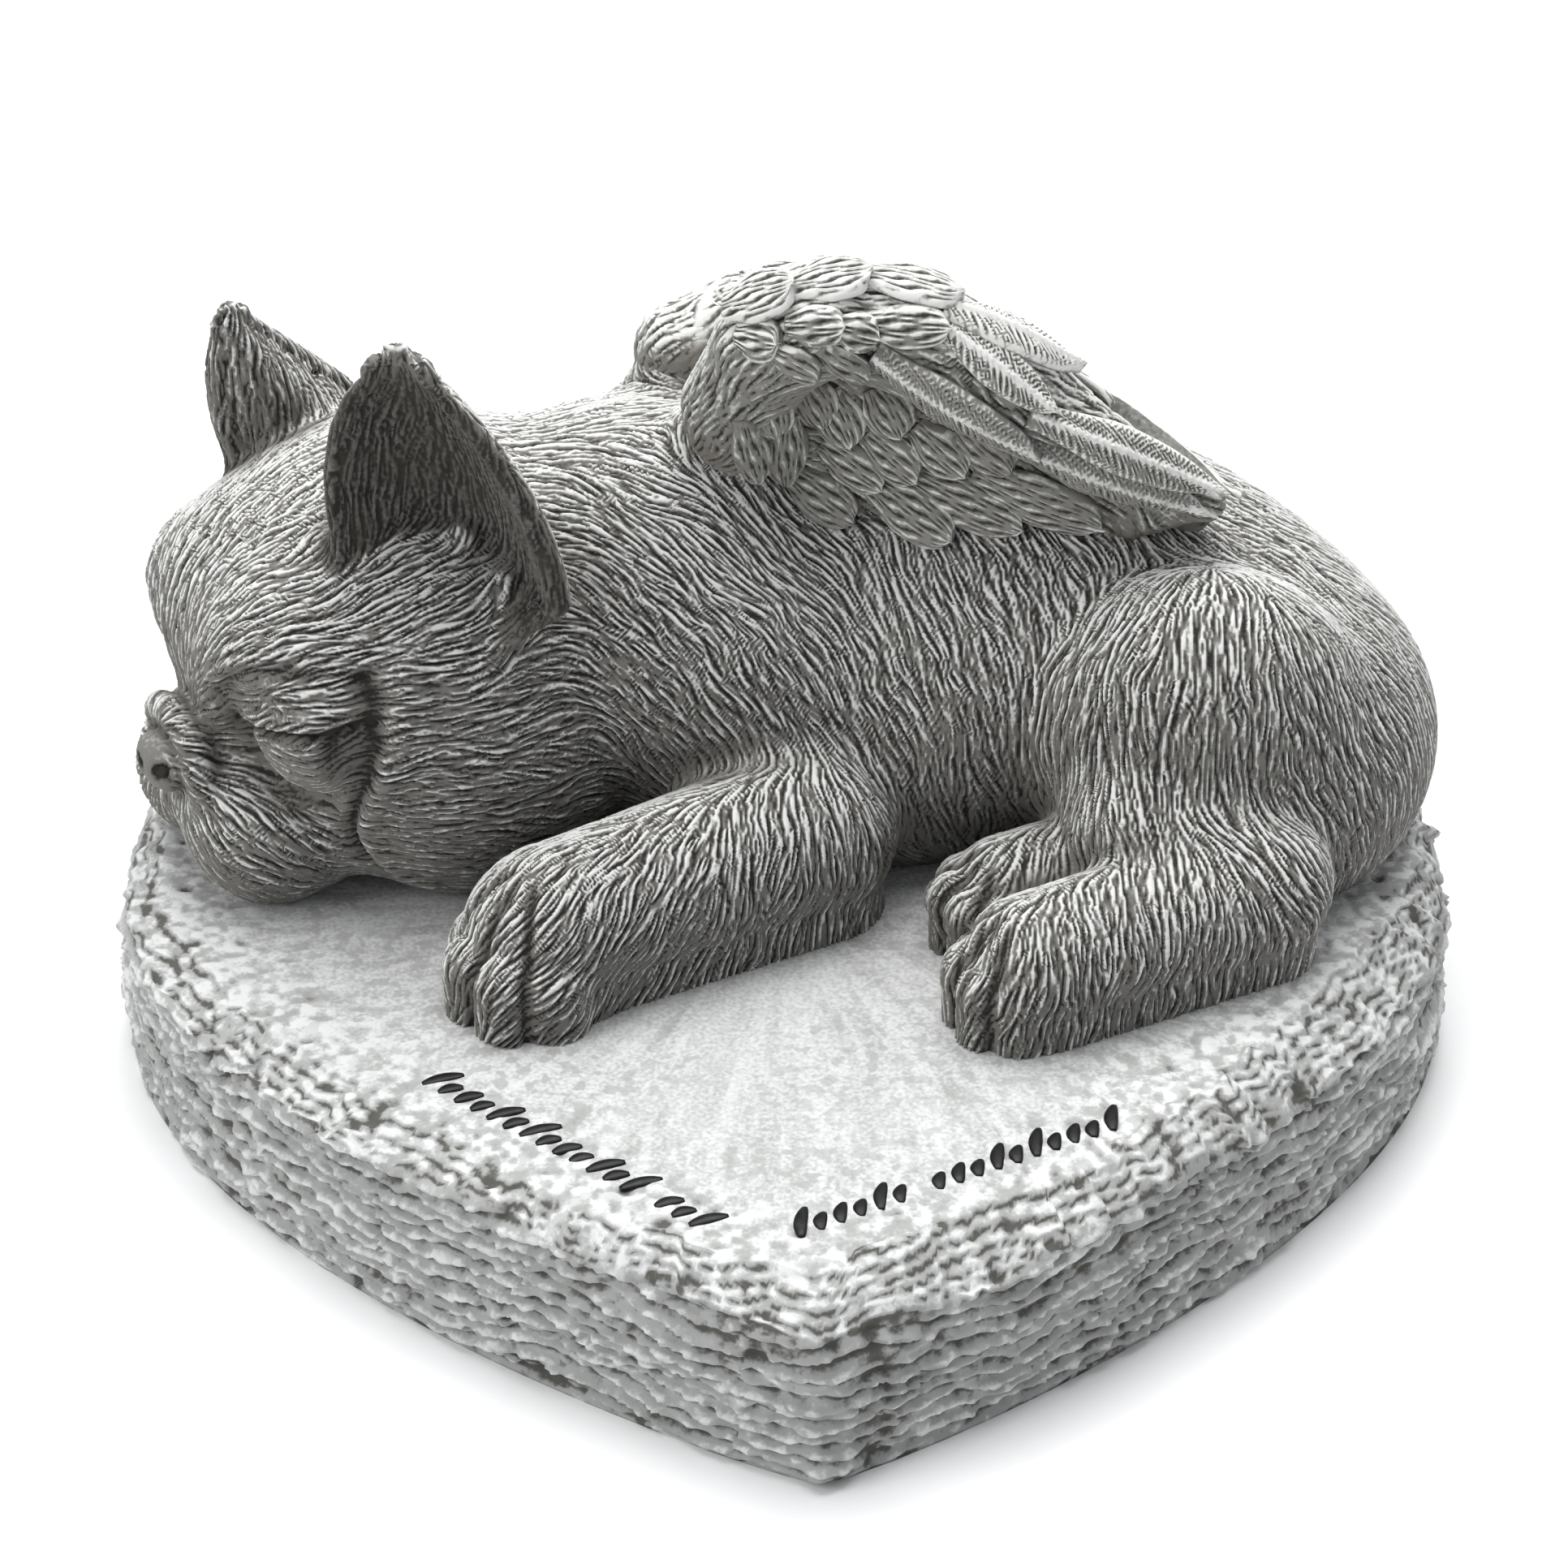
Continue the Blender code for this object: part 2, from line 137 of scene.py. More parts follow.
def limb(
    points: np.ndarray, start: Place, end: Place, start_radius: float, end_radius: float
) -> np.ndarray:
    """Distance to a round-ended tapered bar.

    Args:
        points: Rows of x, y, z.
        start: Middle of one end ball.
        end: Middle of the other.
        start_radius: Radius of the first ball.
        end_radius: Radius of the second.

    Returns:
        Distance to the axis less a radius that changes evenly along it.
    """
    start = np.asarray(start, float)
    run = np.asarray(end, float) - start
    offset = points - start
    share = np.clip(offset @ run / (run @ run), 0.0, 1.0)
    gap = np.linalg.norm(offset - share[:, None] * run, axis=1)
    return gap - (start_radius + (end_radius - start_radius) * share)


def chain(points: np.ndarray, stops: Sequence[Place], radius: float) -> np.ndarray:
    """Distance to a round cord through a few stops.

    Args:
        points: Rows of x, y, z.
        stops: Places that the cord runs through.
        radius: Radius of the cord.

    Returns:
        The smallest of the distances to its straight spans.
    """
    parts = [limb(points, a, b, radius, radius) for a, b in zip(stops, stops[1:])]
    return np.minimum.reduce(parts)


def nearby(points: np.ndarray, centre: Place, reach: float, shape: Field) -> np.ndarray:
    """Work a small shape out only for the points near it.

    Args:
        points: Rows of x, y, z.
        centre: Middle of the shape.
        reach: Half side of the cube round it in which it matters.
        shape: Gives the distances for the points inside the cube.

    Returns:
        The shape's distances, and a large number outside the cube.
    """
    close = np.max(np.abs(points - np.asarray(centre, float)), axis=1) < reach
    result = np.full(len(points), FAR_OFF)
    if close.any():
        result[close] = shape(points[close])
    return result


# Noise

def corner_weights(part: np.ndarray) -> Iterator[tuple[np.ndarray, np.ndarray]]:
    """Go round a cell's corners: the step to each, and its share of places within the cell."""
    for corner in range(8):
        step = np.array([corner & 1, corner >> 1 & 1, corner >> 2 & 1])
        yield step, np.prod(np.where(step, part, 1.0 - part), axis=1)


class Noise:
    """Smooth random values on a cubic lattice that repeats after 64 cells."""

    SIDE = 64

    def __init__(self, seed: int) -> None:
        """Fill the lattice from a seed."""
        self.table = np.random.default_rng(seed).random(self.SIDE**3, dtype=np.float32)

    def __call__(self, points: np.ndarray, cell: float | Triple) -> np.ndarray:
        """Read the noise by smoothed trilinear interpolation.

        Args:
            points: Rows of coordinates.
            cell: Size of a lattice cell, one number or one for each axis.

        Returns:
            Values from 0 to 1.
        """
        scaled = (points / cell).astype(np.float32)
        floor = np.floor(scaled)
        part = scaled - floor
        part = part * part * (3.0 - 2.0 * part)
        floor = floor.astype(np.int64)
        total = np.zeros(len(points), np.float32)
        for step, weight in corner_weights(part):
            cell_at = (floor + step) & (self.SIDE - 1)
            index = (cell_at[:, 0] * self.SIDE + cell_at[:, 1]) * self.SIDE + cell_at[:, 2]
            total += self.table[index] * weight
        return total


def smooth_step(low: float, high: float, values: np.ndarray) -> np.ndarray:
    """Rise from 0 at low to 1 at high with level ends.

    Args:
        low: Where the result is 0; it may lie above high.
        high: Where it is 1.
        values: Where to read it.

    Returns:
        3t² − 2t³ for the share t of the way from low to high.
    """
    share = np.clip((values - low) / (high - low), 0.0, 1.0)
    return share * share * (3.0 - 2.0 * share)


# Lattice surfaces

@dataclass
class Lattice:
    """A box of evenly spaced samples of a field."""

    low: np.ndarray
    step: float
    shape: tuple[int, int, int]

    @classmethod
    def over(cls, low: Place, high: Place, step: float) -> Lattice:
        """Cover a box.

        Args:
            low: Lowest corner of the box.
            high: Highest corner.
            step: From one sample to the next.

        Returns:
            The lattice, which starts at low and reaches high or just past it.
        """
        low = np.asarray(low, float)
        count = np.ceil((np.asarray(high, float) - low) / step).astype(int) + 1
        return cls(low, step, (int(count[0]), int(count[1]), int(count[2])))

    def points(self) -> np.ndarray:
        """All sample places as rows."""
        axes = [self.low[k] + self.step * np.arange(self.shape[k]) for k in range(3)]
        return np.stack(np.meshgrid(*axes, indexing="ij"), axis=-1).reshape(-1, 3)

    def read(self, grids: np.ndarray, places: np.ndarray) -> np.ndarray:
        """Interpolate sampled values at other places.

        Args:
            grids: Samples, one row a lattice place and one column a quantity.
            places: Rows of x, y, z inside the box.

        Returns:
            One row of quantities a place, by trilinear interpolation.
        """
        scaled = (places - self.low) / self.step
        top = np.array(self.shape) - 1.001
        scaled = np.clip(scaled, 0.0, top)
        floor = scaled.astype(np.int64)
        part = (scaled - floor).astype(np.float32)
        total = np.zeros((len(places), grids.shape[1]), np.float32)
        for step, weight in corner_weights(part):
            at = floor + step
            index = (at[:, 0] * self.shape[1] + at[:, 1]) * self.shape[2] + at[:, 2]
            total += grids[index] * weight[:, None]
        return total


def net_surface(values: np.ndarray, lattice: Lattice) -> tuple[np.ndarray, np.ndarray]:
    """Find the zero surface of a sampled field as a net of quads.

    A cell whose corners differ in sign holds one vertex, the mean of the zero crossings on its
    edges. Each lattice edge that changes sign carries one quad between the four cells round it.

    Args:
        values: Samples on the lattice, negative inside.
        lattice: Where the samples are.

    Returns:
        Vertex places and rows of four vertex numbers, turned to face outwards.
    """
    grid = values.reshape(lattice.shape)
    inside = grid < 0.0
    cells = tuple(n - 1 for n in lattice.shape)
    corners = [(i, j, k) for i in (0, 1) for j in (0, 1) for k in (0, 1)]

    def corner_of(source: np.ndarray, corner: tuple[int, int, int]) -> np.ndarray:
        """The value at one corner of every cell."""
        return source[tuple(slice(c, c + n) for c, n in zip(corner, cells))]

    count = sum(corner_of(inside, corner).astype(np.int8) for corner in corners)
    active = (count > 0) & (count < 8)
    number = np.full(cells, -1)
    number[active] = np.arange(active.sum())
    total = np.zeros((int(active.sum()), 3))
    crossings = np.zeros(len(total))
    for start in corners:
        for axis in range(3):
            if start[axis]:
                continue
            end = tuple(c + (k == axis) for k, c in enumerate(start))
            low = corner_of(grid, start)[active]
            high = corner_of(grid, end)[active]
            crossed = (low < 0.0) != (high < 0.0)
            share = np.where(crossed, low / (low - high + 1e-12), 0.0)
            place = np.asarray(start, float) + share[:, None] * (np.arange(3) == axis)
            total[crossed] += place[crossed]
            crossings[crossed] += 1
    verts = lattice.low + lattice.step * (np.argwhere(active) + total / crossings[:, None])
    quads = []
    for axis in range(3):
        first = [slice(1, -1)] * 3
        second = [slice(1, -1)] * 3
        first[axis] = slice(0, -1)
        second[axis] = slice(1, None)
        before = inside[tuple(first)]
        changed = before != inside[tuple(second)]
        cell = np.argwhere(changed) + (np.arange(3) != axis)
        side, up = ((1, 2), (2, 0), (0, 1))[axis]
        ring = []
        for side_step, up_step in ((0, 0), (-1, 0), (-1, -1), (0, -1)):
            near = cell.copy()
            near[:, side] += side_step
            near[:, up] += up_step
            ring.append(number[near[:, 0], near[:, 1], near[:, 2]])
        ring = np.stack(ring, axis=1)
        quads.append(np.where(before[changed][:, None], ring, ring[:, ::-1]))
    return verts, np.concatenate(quads)


def split_quads(verts: np.ndarray, quads: np.ndarray, parts: int) -> tuple[np.ndarray, np.ndarray]:
    """Split every quad into parts by parts smaller ones, by bilinear interpolation.

    Args:
        verts: Vertex places.
        quads: Rows of four vertex numbers.
        parts: How many pieces each side is cut into.

    Returns:
        The finer vertices and quads; vertices on shared sides stay shared.
    """
    if parts == 1:
        return verts, quads
    total = len(verts)
    ends = np.stack([quads, np.roll(quads, -1, axis=1)], axis=-1)
    key = ends.min(axis=-1) * total + ends.max(axis=-1)
    edges, edge_of = np.unique(key, return_inverse=True)
    edge_of = edge_of.reshape(-1, 4)
    share = np.arange(1, parts) / parts
    low, high = verts[edges // total], verts[edges % total]
    on_edges = low[:, None] * (1 - share)[:, None] + high[:, None] * share[:, None]
    a, b, c, d = (verts[quads[:, k]][:, None, None] for k in range(4))
    u = share[None, :, None, None]
    v = share[None, None, :, None]
    within = (a * (1 - u) + b * u) * (1 - v) + (d * (1 - u) + c * u) * v
    count = parts - 1
    grid = np.empty((len(quads), parts + 1, parts + 1), np.int64)
    grid[:, 0, 0], grid[:, parts, 0] = quads[:, 0], quads[:, 1]
    grid[:, parts, parts], grid[:, 0, parts] = quads[:, 2], quads[:, 3]
    steps = np.arange(count)
    for side in range(4):
        forward = ends[:, side, 0] < ends[:, side, 1]
        order = np.where(forward[:, None], steps, count - 1 - steps)
        line = total + edge_of[:, side, None] * count + order
        edge = (grid[:, 1:-1, 0], grid[:, parts, 1:-1], grid[:, 1:-1, parts], grid[:, 0, 1:-1])
        edge[side][:] = line if side < 2 else line[:, ::-1]
    start = total + len(edges) * count
    grid[:, 1:-1, 1:-1] = start + np.arange(len(quads) * count * count).reshape(-1, count, count)
    fine = np.concatenate([verts, on_edges.reshape(-1, 3), within.reshape(-1, 3)])
    ring = (grid[:, :-1, :-1], grid[:, 1:, :-1], grid[:, 1:, 1:], grid[:, :-1, 1:])
    return fine, np.stack(ring, axis=-1).reshape(-1, 4)


def field_normals(shape: Field, places: np.ndarray, reach: float = 0.15) -> np.ndarray:
    """Unit gradients of a field, from four samples at the corners of a tetrahedron.

    Args:
        shape: The field.
        places: Rows of x, y, z.
        reach: From a place to the samples round it, along each axis.

    Returns:
        One outward direction of unit length a place.
    """
    total = np.zeros_like(places)
    for corner in ((1, -1, -1), (-1, -1, 1), (-1, 1, -1), (1, 1, 1)):
        total += shape(places + np.array(corner) * reach)[:, None] * np.array(corner)
    return total / (np.linalg.norm(total, axis=1, keepdims=True) + 1e-12)


def settle_on(shape: Field, places: np.ndarray, rounds: int) -> np.ndarray:
    """Move points along the gradient until they lie on the field's zero surface.

    Args:
        shape: The field.
        places: Rows of x, y, z near its surface.
        rounds: How many times each point moves by its distance, at most by LONGEST_MOVE.

    Returns:
        The moved places.
    """
    for _ in range(rounds):
        distance = np.clip(shape(places), -LONGEST_MOVE, LONGEST_MOVE)
        places = places - field_normals(shape, places) * distance[:, None]
    return places


# Meshes

def tube_net(rows: int, count: int) -> np.ndarray:
    """Number the quads of a closed tube, whose rings of vertices follow one another.

    Each end ring is folded flat and closed by quads from one side of it to the other.

    Args:
        rows: How many rings there are.
        count: How many vertices a ring has, an even number.

    Returns:
        Rows of four vertex numbers, all turned the same way round.
    """
    index = np.arange(rows * count).reshape(rows, count)
    after = np.roll(index, -1, axis=1)
    wall = np.stack([index[:-1], after[:-1], after[1:], index[1:]], axis=-1).reshape(-1, 4)
    k = np.arange(count // 2 - 1)
    far = count - 1 - k
    first, last = index[0], index[-1]
    first_cap = np.stack([first[k], first[far], first[far - 1], first[k + 1]], axis=1)
    last_cap = np.stack([last[k], last[k + 1], last[far - 1], last[far]], axis=1)
    return np.concatenate([wall, first_cap, last_cap])


@dataclass
class Shell:
    """Arrays of one closed surface in mm, with a number or more for every vertex."""

    verts: np.ndarray
    quads: np.ndarray
    values: dict[str, np.ndarray]
    triangles: np.ndarray = field(default_factory=lambda: np.zeros((0, 3), np.int64))


def make_piece(name: str, shell: Shell, sharp: float = 180.0) -> bpy.types.Object:
    """Put a shell into a new mesh object and tie it to the casting.

    Args:
        name: Name of the piece.
        shell: Vertices, outward faces and the numbers that the materials read.
        sharp: Angle in degrees above which an edge is shaded sharp.

    Returns:
        The new object.
    """
    verts, quads, values = shell.verts, shell.quads, shell.values
    mesh = bpy.data.meshes.new(name)
    mesh.vertices.add(len(verts))
    mesh.vertices.foreach_set("co", (verts * MILLIMETRE).astype(np.float32).ravel())
    loops = np.concatenate([quads.ravel(), shell.triangles.ravel()]).astype(np.int32)
    mesh.loops.add(len(loops))
    mesh.loops.foreach_set("vertex_index", loops)
    mesh.polygons.add(len(quads) + len(shell.triangles))
    starts = [np.arange(len(quads)) * 4, quads.size + np.arange(len(shell.triangles)) * 3]
    mesh.polygons.foreach_set("loop_start", np.concatenate(starts).astype(np.int32))
    mesh.update(calc_edges=True)
    mesh.validate()
    for label, numbers in values.items():
        attribute = mesh.attributes.new(label, "FLOAT", "POINT")
        attribute.data.foreach_set("value", numbers.astype(np.float32))
    mesh.shade_smooth()
    if sharp < 180.0:
        mesh.set_sharp_from_angle(angle=np.radians(sharp))
    piece = bpy.data.objects.new(name, mesh)
    bpy.context.scene.collection.objects.link(piece)
    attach(piece, BODY)
    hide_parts(NODE)
    LOG.info("%s: %d triangles", name, 2 * len(quads) + len(shell.triangles))
    return piece


def thin(piece: bpy.types.Object, limit: int) -> None:
    """Merge the least needed triangles until at most the given number is left.

    Args:
        piece: Object whose mesh is replaced by a thinner one.
        limit: The most triangles that it may have.
    """
    faces = sum(len(face.vertices) - 2 for face in piece.data.polygons)
    if faces <= limit:
        return
    merge = piece.modifiers.new("thin", "DECIMATE")
    merge.ratio = limit / faces
    graph = bpy.context.evaluated_depsgraph_get()
    mesh = bpy.data.meshes.new_from_object(piece.evaluated_get(graph))
    piece.modifiers.clear()
    piece.data = mesh
    mesh.shade_smooth()
    LOG.info("%s thinned to %d triangles", piece.name, len(mesh.polygons))


def line_inside(
    coarse: np.ndarray, inner: np.ndarray, fine: np.ndarray, parts: int
) -> tuple[np.ndarray, np.ndarray]:
    """Close a split net by a coarse inner wall, joined to it round every open edge.

    The split net keeps the coarse net's vertices first and then parts − 1 vertices for each
    coarse edge, in the order that split_quads gives them.

    Args:
        coarse: Quads of the net before it was split.
        inner: Vertices of the inner wall, one for each coarse vertex.
        fine: Vertices of the split net.
        parts: Into how many pieces each edge was cut.

    Returns:
        Turned quads of the inner wall and the triangles of the joining strip, both numbered
        for the fine vertices followed by the inner ones.
    """
    total, count, shift = len(inner), parts - 1, len(fine)
    ends = np.stack([coarse, np.roll(coarse, -1, axis=1)], axis=-1)
    key = ends.min(axis=-1) * total + ends.max(axis=-1)
    _, edge_of, uses = np.unique(key, return_inverse=True, return_counts=True)
    edge_of = edge_of.reshape(key.shape)
    free = uses[edge_of] == 1
    a, b, number = ends[free][:, 0], ends[free][:, 1], edge_of[free]
    steps = np.arange(count)
    order = np.where((a < b)[:, None], steps, count - 1 - steps)
    chain_of = np.concatenate([a[:, None], total + number[:, None] * count + order, b[:, None]], 1)
    hub = np.repeat(shift + a, parts)
    strip = np.stack([chain_of[:, 1:].ravel(), chain_of[:, :-1].ravel(), hub], axis=1)
    corner = np.stack([b, shift + a, shift + b], axis=1)
    return coarse[:, ::-1] + shift, np.concatenate([strip, corner])


def drop_unused(verts: np.ndarray, quads: np.ndarray) -> tuple[np.ndarray, np.ndarray]:
    """Leave out vertices that no quad uses.

    Args:
        verts: Vertex places.
        quads: Rows of four vertex numbers.

    Returns:
        The used vertices in their old order, and the quads numbered for them.
    """
    used, renumbered = np.unique(quads, return_inverse=True)
    return verts[used], renumbered.reshape(quads.shape)


# The puppy

HEAD_CENTRE = np.array([-57.0, 33.0, 61.0])
HEAD_YAW = np.radians(210.0)
HEAD_AXES = np.array([
    [np.cos(HEAD_YAW), -np.sin(HEAD_YAW), 0.0],
    [np.sin(HEAD_YAW), np.cos(HEAD_YAW), 0.0],
    [0.0, 0.0, 1.0],
])


def in_head(*place: float) -> np.ndarray:
    """Turn coordinates on the head into the statue's.

    Args:
        place: Millimetres forward, to the near side and up from the head's centre.

    Returns:
        The same place as x, y, z.
    """
    return HEAD_CENTRE + HEAD_AXES @ np.asarray(place, float)


def head_ball(points: np.ndarray, centre: Triple, radii: Triple) -> np.ndarray:
    """Distance to an ellipsoid in the head's own coordinates."""
    return ellipsoid(points, in_head(*centre), radii, HEAD_AXES)


def head_cord(points: np.ndarray, stops: Sequence[Triple], radius: float) -> np.ndarray:
    """Distance to a round cord through stops in the head's own coordinates."""
    return chain(points, [in_head(*stop) for stop in stops], radius)


@dataclass
class Ear:
    """A bat ear: a blade bent into a cup, hollow towards its opening.

    Side is the sign that turns opening × up towards the rear edge. Width scales the blade
    across, and rear_curve says how late its rear edge turns in to the tip.
    """

    base: np.ndarray
    tip: np.ndarray
    opening: Triple
    side: int
    width: float
    rear_curve: float
    front: float = 13.6
    rear: float = 18.7
    half_thickness: float = 2.3
    tip_radius: float = 3.8

    def axes(self) -> tuple[np.ndarray, np.ndarray, np.ndarray, float]:
        """Find the ear's own directions.

        Returns:
            Unit vectors upwards, rearwards and out of the opening, and the height.
        """
        up = self.tip - self.base
        height = float(np.linalg.norm(up))
        up = up / height
        opening = np.asarray(self.opening, float)
        opening = opening - up * (opening @ up)
        opening = opening / np.linalg.norm(opening)
        return up, np.cross(opening, up) * self.side, opening, height

    def distance(self, points: np.ndarray) -> np.ndarray:
        """Distance to the bent blade.

        At each height the blade runs from a front to a rear edge and bows back between them by
        0.75 of its half width; the distance is to that sheet, less half the thickness, which
        shrinks to two thirds at the tip.

        Args:
            points: Rows of x, y, z.

        Returns:
            One distance a point.
        """
        up, rearward, opening, height = self.axes()
        local = points - self.base
        rise, across, out = local @ up, local @ rearward, local @ opening
        share = np.clip(rise / height, 0.0, 1.0)
        tuck = np.clip(-rise, 0.0, 10.0) * self.width
        front = self.front * (share**3.6 - 1) * self.width + tuck * 0.4
        rear = (self.rear - self.rear * share**self.rear_curve) * self.width - tuck * 1.3
        fallen = np.clip(height - rise, 0.0, self.tip_radius)
        rounded = np.sqrt(fallen * (2 * self.tip_radius - fallen)) + 0.3
        bow = np.maximum((rear - front) / 2, 0.0)
        half = np.maximum(bow, rounded)
        place = np.clip((across - (front + rear) / 2) / half, -1.0, 1.0)
        sheet = out + 0.75 * bow * (1 - place**2) - 3.0
        over = np.maximum(np.abs(across - (front + rear) / 2) - half, 0.0)
        beyond = np.maximum(rise - height, 0.0) + np.maximum(-10.0 - rise, 0.0)
        return np.sqrt(over**2 + beyond**2 + sheet**2) - self.half_thickness * (1 - share**4 / 3)

    def cup(self, points: np.ndarray, normals: np.ndarray) -> np.ndarray:
        """Find the shade in the hollow of the ear.

        Args:
            points: Places on the skin.
            normals: Outward directions there.

        Returns:
            A share of shade a point, from 0 to 1.
        """
        up, _, opening, height = self.axes()
        rise = (points - self.base) @ up
        near = smooth_step(3.0, 1.0, self.field(points))
        inside = smooth_step(-0.15, 0.45, normals @ opening) * near
        below_tip = smooth_step(height + 1.0, height - 7.0, rise)
        return inside * below_tip * smooth_step(-9.0, -2.0, rise)

    def field(self, points: np.ndarray) -> np.ndarray:
        """Distance, worked out only near the ear."""
        return nearby(points, (self.base + self.tip) / 2, 36.0, self.distance)


NEAR_EAR = Ear(
    base=in_head(5, 24, 22),
    tip=in_head(9, 23.5, 62),
    opening=(-0.35, -0.93, 0.0),
    side=-1,
    width=1.0,
    rear_curve=2.2,
)
FAR_EAR = Ear(
    base=np.array([-77.0, 50.0, 83.0]),
    tip=np.array([-81.5, 43.5, 108.5]),
    opening=(-0.665, 0.75, 0.0),
    side=1,
    width=0.75,
    rear_curve=1.0,
    front=9.0,
    half_thickness=2.1,
    tip_radius=1.6,
)


class Part(Enum):
    """Stretches of the puppy whose hair lies in a way of its own."""

    HEAD = 0
    EARS = 1
    TRUNK = 2
    FORELEG = 3
    THIGH = 4
    HIND_FOOT = 5
    FAR_PAW = 6


@dataclass
class Paw:
    """Four toes in an arc in front of a limb's end.

    Heading is the way that the paw points, and fan the angle between neighbouring toes, both in
    degrees. Spread is the reach of the middle toes, toe their radius and height the level of
    their ends.
    """

    centre: Triple
    heading: float
    spread: float
    toe: float
    height: float
    fan: float

    def toes(self, points: np.ndarray) -> np.ndarray:
        """Distance to the toes, each a short bar from the paw's middle.

        Args:
            points: Rows of x, y, z.

        Returns:
            One distance a point.
        """
        result = np.full(len(points), FAR_OFF)
        for number in range(4):
            angle = np.radians(self.heading + (number - 1.5) * self.fan)
            reach = self.spread * (1.0 if number in (1, 2) else 0.86)
            end = (
                self.centre[0] + reach * np.cos(angle),
                self.centre[1] + reach * np.sin(angle),
                self.height,
            )
            bar = limb(points, self.centre, end, self.toe, self.toe)
            result = soft_union(result, bar, 0.35)
        return result

    def gaps(self, points: np.ndarray) -> np.ndarray:
        """How near each point is to a gap between two toes.

        Args:
            points: Places on the skin.

        Returns:
            1 on the line between two toes, falling to 0 beside it.
        """
        offset = points[:, :2] - np.asarray(self.centre[:2])
        reach = np.linalg.norm(offset, axis=1)
        nearest = np.zeros(len(points))
        for number in range(3):
            angle = np.radians(self.heading + (number - 1.0) * self.fan)
            ahead = offset @ np.array([np.cos(angle), np.sin(angle)])
            aside = offset @ np.array([-np.sin(angle), np.cos(angle)])
            line = np.exp(-((aside / 0.8) ** 2)) * smooth_step(1.5, 6.0, ahead)
            nearest = np.maximum(nearest, line)
        return nearest * smooth_step(18.0, 16.5, reach) * (points[:, 2] < 53.0)

    def join(self, points: np.ndarray, leg: np.ndarray) -> np.ndarray:
        """Set the toes on a leg.

        Args:
            points: Rows of x, y, z.
            leg: Distances to the leg there.

        Returns:
            Distances to the leg with its toes.
        """
        toes = nearby(points, self.centre, 30.0, self.toes)
        return soft_union(leg, toes, 1.0)


@dataclass(frozen=True)
class FaceLine:
    """A line carved in both sides of the face, in the plane across the head.

    Stops are millimetres to the side and up from the head's centre. Lip is how much the skin
    swells beside the groove, and lip_side the way from the swelling back to the groove.
    """

    stops: tuple[tuple[float, float], ...]
    width: float
    depth: float
    shade: float
    lip: float
    lip_side: tuple[float, float]


FACE_LINES = (
    FaceLine(
        ((10.5, -1.0), (14, 0.8), (19, 2.6), (25, 4.6), (30.0, 5.8)),
        0.6, 1.7, 1.0, 0.9, (0, -1.7),
    ),
    FaceLine(
        ((11, 5), (15.0, 10), (18, 12.6), (22.5, 14.0), (25, 13.4)),
        1.1, 1.1, 0.5, 0.5, (0, -2.4),
    ),
    FaceLine(
        (
            (28.4, 13.4), (30.3, 9.0), (30.8, 2.0), (30.0, -4.0), (28.0, -9.5), (26.6, -13.5),
            (27.2, -20.0), (30.5, -28.0),
        ),
        0.9, 1.7, 0.8, 1.0, (-2.3, 0),
    ),
    FaceLine(((11, -1.5), (13.5, -7), (18.5, -9.5), (24, -9.5)), 1.7, 1.3, 0.35, 0.0, (0, 0)),
    FaceLine(((9.5, 4), (10.5, 0), (11.5, -2)), 1.5, 1.2, 0.5, 0.0, (0, 0)),
)
ROLL = (
    (38, -9.5, -15), (39.6, -6.5, -6), (39.9, 0, -3.2), (39.6, 6, -5.2), (39.8, 8.6, -10.5),
    (38.4, 10, -17),
)
LIP = ((45, 0.4, -14.8), (44.5, 0.2, -19), (44, 0, -24), (41.5, 0, -29))
NOSTRILS = ((44.6, 4.2, -9.6), (46.0, -1.4, -10.2))
NOSTRIL_RADII = (1.5, 1.2, 1.0)

FORE_PAW = Paw((-35.5, -19.0, 40.0), 225.0, 9.4, 5.9, 37.0, 38.0)
HIND_PAW = Paw((34.5, -25.5, 39.5), 202.0, 6.6, 5.2, 38.0, 40.0)
FAR_PAW = Paw((32.0, -6.8, 39.0), 210.0, 6.6, 4.5, 38.5, 40.0)


def planted(points: np.ndarray, level: float) -> np.ndarray:
    """Lift points below a level up to it, so that a limb stands on upright walls there.

    Args:
        points: Rows of x, y, z.
        level: Height in mm below which the walls are upright.

    Returns:
        The lifted points.
    """
    return np.concatenate([points[:, :2], np.maximum(points[:, 2:], level)], axis=1)


